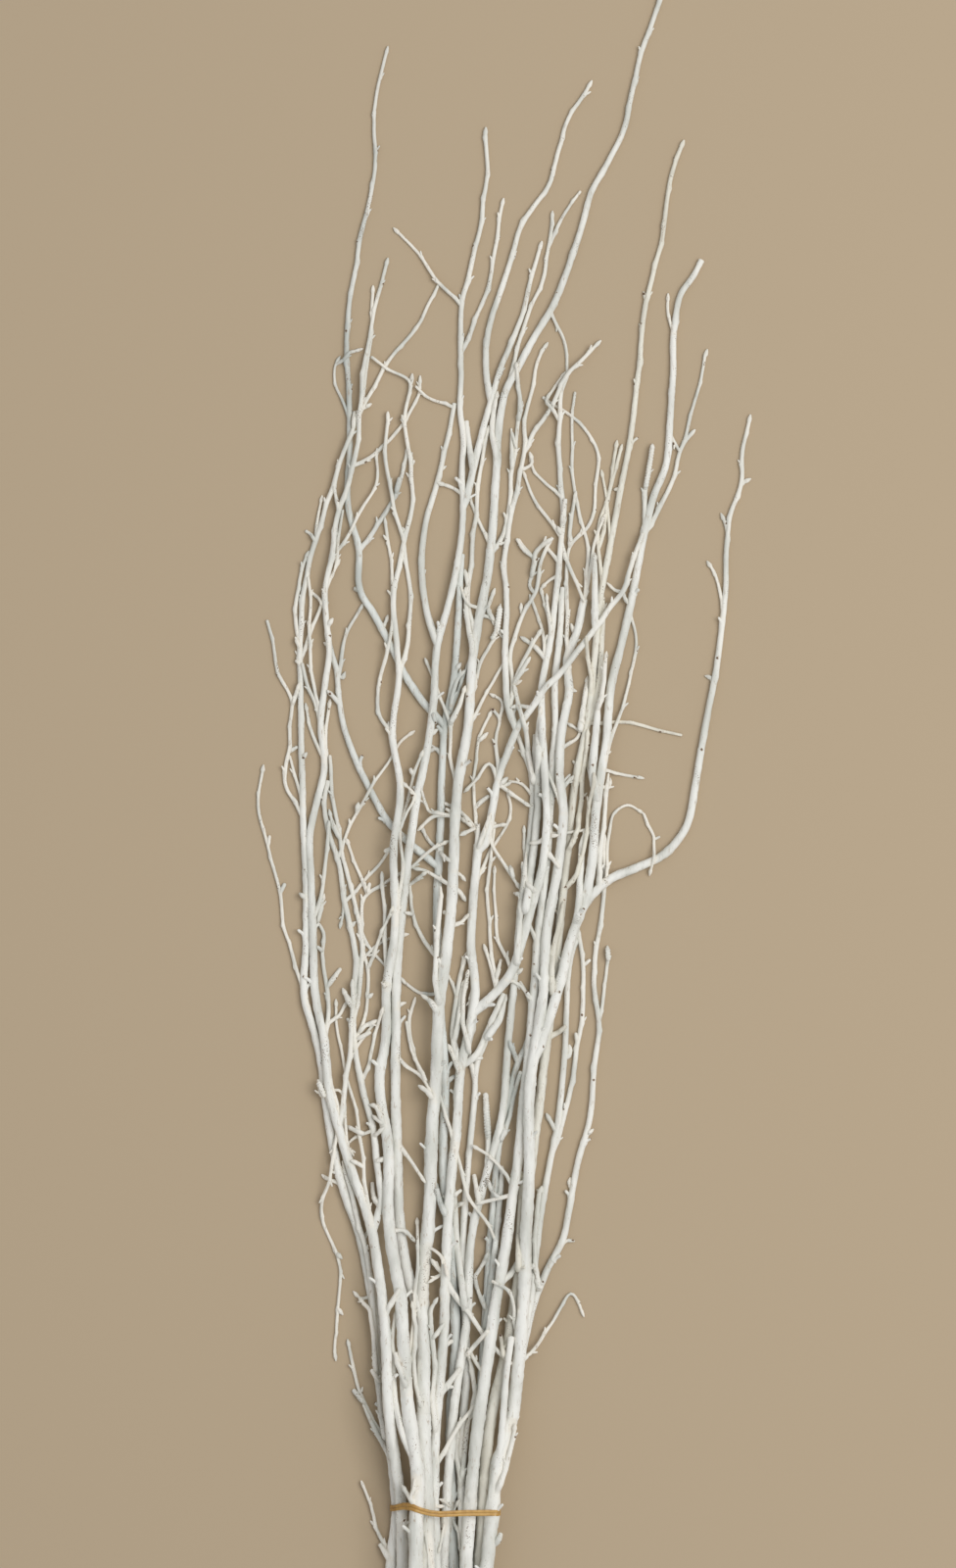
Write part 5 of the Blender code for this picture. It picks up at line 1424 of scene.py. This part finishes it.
print("buds are", [value / MM for value in BUD_LENGTH], "mm long")

# %% [markdown]
# ## One fused piece for each limb
#
# The wood of a limb, its twigs and its buds grow into each other, so they become one closed mesh:
# a Boolean union removes every face that would be hidden inside. A remesh would round the forks
# as well, but it would need far more faces to keep twigs only two millimetres thick.

# %% Union of the tubes
SHARP_CREASE = math.radians(38)
FLOOR_SKIN = 0.03 * MM


def places_of(mesh):
    """The places of all vertices of a mesh, one row each."""
    places = np.empty(len(mesh.vertices) * 3)
    mesh.vertices.foreach_get("co", places)
    return places.reshape(-1, 3)


def joined(name, skins):
    """One mesh that holds several skins side by side."""
    offset = 0
    points, faces = [], []
    for vertices, skin_faces in skins:
        points.append(vertices)
        faces += [tuple(index + offset for index in face) for face in skin_faces]
        offset += len(vertices)
    return mesh_of(name, np.vstack(points), faces)


def fused(name, meshes):
    """One object that is the union of these closed meshes."""
    whole = placed(name, meshes[0])
    helpers = [placed("helper", mesh) for mesh in meshes[1:]]
    for helper in helpers:
        union = whole.modifiers.new("union", "BOOLEAN")
        union.operation = "UNION"
        union.solver = "MANIFOLD"
        union.object = helper
    bpy.context.view_layer.update()
    graph = bpy.context.evaluated_depsgraph_get()
    result = bpy.data.meshes.new_from_object(whole.evaluated_get(graph))
    whole.modifiers.clear()
    whole.data = result
    for helper in helpers:
        bpy.data.objects.remove(helper)
    places = places_of(result)
    places[:, 2] = np.maximum(places[:, 2], FLOOR_SKIN)
    result.vertices.foreach_set("co", places.ravel())
    result.validate()
    result.shade_smooth()
    result.set_sharp_from_angle(angle=SHARP_CREASE)
    return whole


print("creases sharper than", round(math.degrees(SHARP_CREASE)), "degrees stay sharp")

# %% Fuse each limb with its twigs, buds and spurs
wood_pieces = {}
for name, group in growths.items():
    meshes = []
    for number, growth in enumerate(group):
        meshes.append(mesh_of(f"{name}_{number}", *wood_of(growth)))
    small = [piece for growth in group for piece in shoots_of(growth)]
    if small:
        meshes.append(joined(f"{name}_shoots", small))
    wood_pieces[name] = fused(f"{name}_wood", meshes)
triangles = {
    name: sum(len(face.vertices) - 2 for face in piece.data.polygons)
    for name, piece in wood_pieces.items()
}
print("triangles in all:", sum(triangles.values()), "most in a piece:", max(triangles.values()))

# %% [markdown]
# ## The rubber band
#
# One golden band is wound twice round the stems, just above the cut ends. Pulled tight, it follows
# the shortest way round them, which is the convex outline of the stems cut across at that place. We
# take that outline, lay a flat rounded strip round it twice, and let the two turns change sides
# underneath. On top, its middle follows a few places in the photograph, because the band runs a
# little aslant. A simulated cloth strip would sink between the stems, which tight rubber doesn't.

# %% The tight outline round the stems
OUTLINE_TURNS = 24


def stems_at(y):
    """(x, z, radius) of every stem that passes this distance along the table."""
    found = []
    for strand in strands:
        if strand.carrier:
            continue
        for segment in range(len(strand.lengths)):
            start, end = strand.points[segment][1], strand.points[segment + 1][1]
            if min(start, end) <= y < max(start, end):
                share = (y - start) / (end - start)
                x = along(strand.points, segment, share)[0]
                z = along(strand.heights, segment, share) + PAINT_COAT
                found.append((x, z, along(strand.radii, segment, share) + PAINT_COAT))
    return found


band_y = on_table(0, BAND_ROW)[1]
rims = []
for x, z, radius in stems_at(band_y):
    for turn in np.linspace(0, math.tau, OUTLINE_TURNS, endpoint=False):
        reach = radius + BAND_CLEARANCE
        rims.append((x + reach * math.cos(turn), z + reach * math.sin(turn)))
outline = np.array([rims[index] for index in convex_hull_2d(rims)])
steps_round = np.linalg.norm(outline - np.roll(outline, 1, axis=0), axis=1)
print("the band goes", round(steps_round.sum() / MM), "mm round")

# %% An even loop that starts where the turns cross
BAND_POINTS = 260
SMOOTHING_ROUNDS = 3
CROSSOVER_COLUMN = 440.0

closed = np.vstack([outline, outline[:1]])
round_arc = np.concatenate([[0], np.linalg.norm(np.diff(closed, axis=0), axis=1).cumsum()])
places = np.linspace(0, round_arc[-1], BAND_POINTS, endpoint=False)
loop = np.column_stack([np.interp(places, round_arc, closed[:, axis]) for axis in (0, 1)])
for _ in range(SMOOTHING_ROUNDS):
    loop = (np.roll(loop, 1, axis=0) + 2 * loop + np.roll(loop, -1, axis=0)) / 4
top_z = loop[:, 1].max()
middle_z = (top_z + loop[:, 1].min()) / 2
crossover_x = on_table(CROSSOVER_COLUMN, 0)[0]
underside = np.flatnonzero(loop[:, 1] < middle_z)
first = int(underside[np.abs(loop[underside, 0] - crossover_x).argmin()])
loop = np.roll(loop, -first, axis=0)
onward = np.roll(loop, 1, axis=0) - np.roll(loop, -1, axis=0)
outward = np.column_stack([-onward[:, 1], onward[:, 0]])
outward /= np.linalg.norm(outward, axis=1)[:, None]
if ((loop - loop.mean(axis=0)) * outward).sum() < 0:
    outward = -outward
print("the turns cross", round(loop[0][1] / MM, 1), "mm above the table")

# %% One strip, wound twice
STRIP_WIDTH = 2.1 * MM
STRIP_THICKNESS = 0.95 * MM
STRIP_APART = 1.1 * MM
CROSSOVER_HALF = 6.0 * MM
CROSSOVER_LIFT = 0.5 * MM
CROSSOVER_SINK = -0.6
LOBE_COLUMN = 414.0
LOBE_HALF = 8.0 * MM
LOBE_SHARE = 0.35
# The strip cut across: shares of its width and of its thickness.
STRIP_SECTION = ((-0.5, -0.2), (-0.44, -0.44), (0.0, -0.5), (0.44, -0.44), (0.5, -0.2),
                 (0.5, 0.2), (0.44, 0.44), (0.0, 0.5), (-0.44, 0.44), (-0.5, 0.2))
# Where the middle of the band shows, as places in the photograph.
BAND_ROWS = ((398, 1535), (405, 1531), (412, 1529), (420, 1530), (430, 1534), (440, 1537),
             (450, 1538.5), (460, 1538.5), (475, 1538.5), (500, 1540), (510, 1542))


def band_middle(x):
    """How far along the table the middle of the band lies, on its upper side."""
    columns, rows = zip(*BAND_ROWS)
    return on_table(0, np.interp(x / PHOTO_PIXEL + CENTRE_COLUMN, columns, rows))[1]


def turn_rings(turn):
    """The rings of one turn of the strip, which changes sides with the other where they cross."""
    gaps = np.linalg.norm(np.roll(loop, -1, axis=0) - loop, axis=1)
    arc = np.concatenate([[0], gaps.cumsum()])[:-1]
    toward = np.clip(np.minimum(arc, gaps.sum() - arc) / CROSSOVER_HALF, 0, 1)
    ease = toward * toward * (3 - 2 * toward)
    upper = (arc > gaps.sum() / 2) == (turn == 1)
    lift = CROSSOVER_LIFT * (1 - ease) * np.where(upper, 1, CROSSOVER_SINK)
    lobe_x = on_table(LOBE_COLUMN, 0)[0]
    made = []
    for index, (x, z) in enumerate(loop):
        top_share = min(max((z - middle_z) / (top_z - middle_z), -1), 1)
        lobe = 1 + LOBE_SHARE * math.exp(-(((x - lobe_x) / LOBE_HALF) ** 2)) * max(top_share, 0)
        y = band_y + (band_middle(x) - band_y) * (0.5 + 0.5 * top_share)
        y += (1 if turn == 0 else -1) * ease[index] * STRIP_APART * lobe
        out_x, out_z = outward[index]
        ring = []
        for across, through in STRIP_SECTION:
            deep = through * STRIP_THICKNESS + lift[index]
            ring.append((x + out_x * deep, y + across * STRIP_WIDTH * lobe, z + out_z * deep))
        made.append(ring)
    return made


rings = np.array(turn_rings(0) + turn_rings(1))
band_faces = ring_faces(len(rings), len(STRIP_SECTION), closed=True)
band = placed("rubber_band_loop", mesh_of("rubber_band_loop", rings.reshape(-1, 3), band_faces))
band.data.shade_smooth()
print("band strip:", STRIP_WIDTH / MM, "by", STRIP_THICKNESS / MM, "mm")

# %% [markdown]
# ## Cut ends
#
# The butts were cut straight across with secateurs. The last ring of each stem could be given the
# end grain as a second finish, but a thin disc of its own closes the butt more neatly and keeps the
# bare wood apart from the paint. It is pale wood with fine growth rings.

# %% A disc of end grain on each butt
CUT_THICKNESS = 0.5 * MM
CUT_STANDS_OUT = 0.4
CUT_SIDES = 24
CUT_SHARE = 0.985


def disc_on(name, growth):
    """A thin disc over the cut end of a stem."""
    forward, sideways, upward = (axis[:1] for axis in frames_along(growth.line))
    turns = np.linspace(0, math.tau, CUT_SIDES, endpoint=False)
    reach = radius_at(growth, growth.stops[:1], turns)[0] * CUT_SHARE
    rim = round_line(sideways, upward, turns)[0] * reach[:, None]
    inner = forward[0] * CUT_THICKNESS
    disc = placed(name, mesh_of(name, *skin(np.stack([rim, rim + inner]), inner * 0, inner)))
    disc.location = growth.line[0] - inner * CUT_STANDS_OUT
    return disc


cut_pieces = {}
for name, group in growths.items():
    if not limbs[name][0].carrier:
        cut_pieces[name] = disc_on(f"{name}_cut", group[0])
print(len(cut_pieces), "cut ends")

# %% [markdown]
# ## Chips in the paint
#
# Paint is lost where something snapped off or was rubbed: at bud scars, at the broken ends of spurs
# and at a few larger places that show dark in the photograph. A list of places in space is enough.
# Each vertex stores how close it is to a chip, and the material breaks that smooth value up with
# noise. It also stores how thin its wood is, because the finest twigs look creamier. Painting an
# image would do the same, but then the marks could not follow a changed limb.

# %% Where the paint has come off
CHIP_SHARE = 0.3
CHIP_RADIUS = (0.9 * MM, 2.0 * MM)
LARGE_CHIP = 1.8 * MM
CHIP_REACH = 1.0 * MM
LARGE_CHIPS = (
    (353, 338), (568, 298), (633, 138), (645, 402), (654, 330), (657, 300), (627, 497), (719, 371),
    (648, 794), (732, 671), (716, 765), (503, 724), (514, 982), (545, 970), (545, 983), (545, 995),
    (541, 915), (568, 775), (568, 790), (605, 780), (577, 905), (577, 918), (577, 930), (541, 1055),
    (511, 1361), (585, 1265), (310, 773), (337, 708), (336, 724), (445, 738), (447, 765), (439, 1566),
    (464, 1395), (491, 1478), (448, 1491), (502, 1416), (502, 1425), (387, 1245), (413, 1547),
    (588, 487), (548, 571), (594, 1035), (606, 1102), (388, 1340), (520, 1418))


def ring_nearest(growth, place):
    """The ring of a strand that lies nearest to a place on the table, and how far that is."""
    distances = np.hypot(*(growth.line[:, :2] - place).T)
    ring = int(distances.argmin())
    return ring, distances[ring]


def top_at(place):
    """The highest wood at a place on the table, or None where there is no wood."""
    tops = []
    for growth in growth_of.values():
        ring, distance = ring_nearest(growth, place)
        if distance < growth.radii[ring] + CHIP_REACH:
            tops.append(growth.line[ring][2] + growth.radii[ring])
    return Vector((*place, max(tops))) if tops else None


chips = list(broken_ends)
for pixel in LARGE_CHIPS:
    top = top_at(on_table(*pixel))
    if top is not None:
        chips.append((top, LARGE_CHIP))
for growth in growth_of.values():
    for place, *_, turn, _ in growth.scars:
        if growth.chance.random() < CHIP_SHARE:
            ring, _, out = outward_at(growth, place, turn)
            middle = Vector(growth.line[ring] + out * growth.radii[ring])
            chips.append((middle, growth.chance.uniform(*CHIP_RADIUS)))
print(len(chips), "chips in the paint")

# %% Two values for each vertex


def bareness(places):
    """How close each place is to a chip: 1 in its middle, 0 outside it."""
    bare = np.zeros(len(places))
    tree = tree_of(places)
    for place, radius in chips:
        for _, index, distance in tree.find_range(place, radius):
            bare[index] = max(bare[index], 1 - (distance / radius) ** 2)
    return bare


def thinness(places, group):
    """How thin the wood is at each place: 1 on the finest twigs, 0 on thick limbs."""
    radii = np.concatenate([growth.radii for growth in group])
    tree = tree_of(np.vstack([growth.line for growth in group]))
    nearest = [tree.find(place)[1] for place in places]
    return np.clip((THICK_RADIUS - radii[nearest]) / (THICK_RADIUS - THIN_RADIUS / 2), 0, 1)


marked = 0
for name, piece in wood_pieces.items():
    places = places_of(piece.data)
    bare = bareness(places)
    marked += np.count_nonzero(bare)
    for key, values in (("bare", bare), ("thin", thinness(places, growths[name]))):
        piece.data.attributes.new(key, "FLOAT", "POINT").data.foreach_set("value", values)
print(marked, "vertices lie in a chip")

# %% [markdown]
# ## Chalky paint
#
# The whips were dipped in thin white emulsion. It dries matt, uneven and slightly rough: greyer in
# broad patches and along the grain, creamier on the thinnest twigs, and brown where the bark shows
# through. A picture wrapped round each limb would stretch at the forks, so all of it is mixed from
# noise in the object's own space, stretched along the bundle, because the paint ran and wore along
# the wood. Most limbs are white and one is creamier. The few limbs that lie lowest in the heap get a
# greyer, bluer copy of the white paint, which is painted shade, with a little more bark showing.

# %% Helpers that join shader nodes
MIX_SHARE, MIX_FIRST, MIX_SECOND, MIX_RESULT = 0, 6, 7, 2


def fill(tree, entry, value):
    """Links a socket to an input, or writes a number or a colour into it."""
    if isinstance(value, bpy.types.NodeSocket):
        tree.links.new(value, entry)
    else:
        entry.default_value = (*value, 1) if isinstance(value, tuple) else value


def node(tree, kind, **inputs):
    """A shader node with these inputs."""
    made = tree.nodes.new(kind)
    for key, value in inputs.items():
        fill(tree, made.inputs[key], value)
    return made


def object_place(tree):
    """The place of each point in the piece's own space."""
    return tree.nodes.new("ShaderNodeTexCoord").outputs["Object"]


def vertex_value(tree, key):
    """The value that each vertex stores under this name."""
    made = tree.nodes.new("ShaderNodeAttribute")
    made.attribute_name = key
    return made.outputs["Fac"]


def stretched(tree, place, share):
    """Places pressed together along the bundle, so that noise there is drawn out."""
    made = node(tree, "ShaderNodeVectorMath", Vector=place)
    made.operation = "MULTIPLY"
    made.inputs[1].default_value = (1, share, 1)
    return made.outputs["Vector"]


def noise(tree, place, scale, detail=3.0, roughness=0.55):
    """Cloudy noise, which is finer where the scale is larger."""
    made = node(tree, "ShaderNodeTexNoise", Vector=place, Scale=scale, Detail=detail, Roughness=roughness)
    return made.outputs["Fac"]


def added(tree, first, second):
    """The sum of two values."""
    made = tree.nodes.new("ShaderNodeMath")
    for entry, value in zip(made.inputs, (first, second)):
        fill(tree, entry, value)
    return made.outputs["Value"]


def ramp(tree, value, low, high):
    """0 below low, 1 above high, smooth between."""
    made = node(tree, "ShaderNodeMapRange", **{"Value": value, "From Min": low, "From Max": high})
    made.interpolation_type = "SMOOTHSTEP"
    return made.outputs["Result"]


def blend(tree, share, first, second):
    """The first colour where the share is 0, and the second where it is 1."""
    made = tree.nodes.new("ShaderNodeMix")
    made.data_type = "RGBA"
    for index, value in ((MIX_SHARE, share), (MIX_FIRST, first), (MIX_SECOND, second)):
        fill(tree, made.inputs[index], value)
    return made.outputs[MIX_RESULT]


print("a mix node takes its two colours at entries", MIX_FIRST, "and", MIX_SECOND)

# %% Paint that follows the wood
PAINT_ROUGHNESS = 0.82
PAINT_SHINE = 0.25
DRAWN_OUT = 0.25
GRAIN_DRAWN_OUT = 0.06
GRAIN_SCALE = 850.0
SHADE_SCALE = 75.0
STREAK_SCALE = 480.0
SPECK_SCALE = 1150.0
SPECK_CLOUD_SCALE = 130.0
CHIP_SCALE = 1100.0
LUMP_SCALE = 330.0
SHADE_BETWEEN = (0.38, 0.7)
STREAK_BETWEEN = (0.58, 0.8)
GRAIN_BETWEEN = (0.62, 0.8)
SPECK_BETWEEN = (1.25, 1.33)
BARK_BETWEEN = (0.98, 1.12)
CHIP_BETWEEN = (1.12, 1.24)
BUMP_STRENGTH = 0.6
LUMP_DEPTH = 0.5 * MM
GRIT_DEPTH = 0.3 * MM
BARK = (0.42, 0.34, 0.25)
SPECK = (0.22, 0.17, 0.12)
CHIP_COLOUR = (0.13, 0.075, 0.045)


def paint(name, light, dark, twig, wear):
    """White paint on wood: a light, a dark and a thin-twig tint, and how much bark shows."""
    material, tree, shader = shader_of(name)
    place = object_place(tree)
    lengthwise = stretched(tree, place, DRAWN_OUT)
    grain = noise(tree, stretched(tree, place, GRAIN_DRAWN_OUT), GRAIN_SCALE, detail=5.0, roughness=0.6)
    colour = blend(tree, vertex_value(tree, "thin"), light, twig)
    shade = ramp(tree, noise(tree, lengthwise, SHADE_SCALE, detail=4.0), *SHADE_BETWEEN)
    colour = blend(tree, shade, colour, dark)
    streaks = noise(tree, lengthwise, STREAK_SCALE, detail=5.0, roughness=0.65)
    worn = ramp(tree, streaks, *(edge - wear for edge in STREAK_BETWEEN))
    colour = blend(tree, worn, colour, BARK)
    colour = blend(tree, ramp(tree, grain, *GRAIN_BETWEEN), colour, dark)
    specks = noise(tree, place, SPECK_SCALE, detail=2.0)
    specks = added(tree, specks, noise(tree, lengthwise, SPECK_CLOUD_SCALE))
    colour = blend(tree, ramp(tree, specks, *SPECK_BETWEEN), colour, SPECK)
    ragged = added(tree, vertex_value(tree, "bare"), noise(tree, place, CHIP_SCALE, detail=2.0))
    colour = blend(tree, ramp(tree, ragged, *BARK_BETWEEN), colour, BARK)
    colour = blend(tree, ramp(tree, ragged, *CHIP_BETWEEN), colour, CHIP_COLOUR)
    tree.links.new(colour, shader.inputs["Base Color"])
    shader.inputs["Roughness"].default_value = PAINT_ROUGHNESS
    shader.inputs["Specular IOR Level"].default_value = PAINT_SHINE
    lumps = node(tree, "ShaderNodeBump", Height=noise(tree, lengthwise, LUMP_SCALE),
                 Strength=BUMP_STRENGTH, Distance=LUMP_DEPTH)
    grit = node(tree, "ShaderNodeBump", Height=grain, Strength=BUMP_STRENGTH, Distance=GRIT_DEPTH,
                Normal=lumps.outputs["Normal"])
    tree.links.new(grit.outputs["Normal"], shader.inputs["Normal"])
    return material


# Each finish: its light, its dark and its thin-twig tint, and how much of the bark shows.
PAINTS = {
    "white_paint": ((0.84, 0.83, 0.775), (0.64, 0.64, 0.58), (0.85, 0.80, 0.70), 0.02),
    "cream_paint": ((0.80, 0.78, 0.69), (0.63, 0.60, 0.51), (0.80, 0.75, 0.63), 0.03),
    # A darker, bluer copy of the white paint: painted shade for the limbs that lie lowest in the heap,
    # with a little more bark showing.
    "grey_paint": ((0.74, 0.76, 0.72), (0.52, 0.54, 0.50), (0.76, 0.72, 0.64), 0.05),
}
CREAM_LIMBS = ("stem_13",)
# The limbs that lie lowest, under all the others, take the copy of the white paint that is painted shade.
LIMBS_IN_PAINTED_SHADE = ("stem_06", "stem_06_left_limb", "stem_06_long_limb", "stem_09", "stem_11")


def slot_of(name):
    """The finish that a limb is dipped in, or for the lowest limbs a greyer copy of the white as painted
    shade.
    """
    if name in CREAM_LIMBS:
        return "cream_paint"
    return "grey_paint" if name in LIMBS_IN_PAINTED_SHADE else "white_paint"


finishes = {name: paint(name, *tints) for name, tints in PAINTS.items()}
print(sorted(finishes))

# %% Golden rubber
RUBBER_LIGHT = (0.56, 0.33, 0.09)
RUBBER_DARK = (0.42, 0.22, 0.05)
RUBBER_ROUGHNESS = 0.42
RUBBER_CLOUD_SCALE = 260.0
RUBBER_CLOUDS_BETWEEN = (0.35, 0.7)

rubber, rubber_tree, rubber_shader = shader_of("golden_rubber")
clouds = noise(rubber_tree, object_place(rubber_tree), RUBBER_CLOUD_SCALE)
cloudy = ramp(rubber_tree, clouds, *RUBBER_CLOUDS_BETWEEN)
rubber_colour = blend(rubber_tree, cloudy, RUBBER_LIGHT, RUBBER_DARK)
rubber_tree.links.new(rubber_colour, rubber_shader.inputs["Base Color"])
rubber_shader.inputs["Roughness"].default_value = RUBBER_ROUGHNESS
print("rubber roughness", RUBBER_ROUGHNESS)

# %% End grain
PALE_WOOD = (0.66, 0.57, 0.42)
DARK_WOOD = (0.52, 0.42, 0.29)
WOOD_ROUGHNESS = 0.85
RING_SCALE = 700.0
RING_WAVER = 1.4

end_grain, grain_tree, grain_shader = shader_of("end_grain")
grain_rings = node(grain_tree, "ShaderNodeTexWave", Vector=object_place(grain_tree), Scale=RING_SCALE,
                   Distortion=RING_WAVER)
grain_rings.wave_type = "RINGS"
grain_rings.rings_direction = "SPHERICAL"
grain_colour = blend(grain_tree, grain_rings.outputs["Fac"], PALE_WOOD, DARK_WOOD)
grain_tree.links.new(grain_colour, grain_shader.inputs["Base Color"])
grain_shader.inputs["Roughness"].default_value = WOOD_ROUGHNESS
print("growth rings at scale", RING_SCALE)

# %% [markdown]
# ## Hand the pieces to the frame
#
# Nothing on a tied bundle moves on its own, so every piece rides on the one rigid body. Each stands
# for its own solid of the construction model, and it is given its finish.

# %% Hand over
handed = [(piece, name, slot_of(name), finishes[slot_of(name)]) for name, piece in wood_pieces.items()]
handed += [(piece, name, slot_of(name), end_grain) for name, piece in cut_pieces.items()]
handed.append((band, "rubber_band", "golden_rubber", rubber))
for piece, solid, slot, finish in handed:
    piece.data.materials.clear()
    piece.data.materials.append(finish)
    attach(piece, "root")
    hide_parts(solid)
print("pieces:", len(handed))
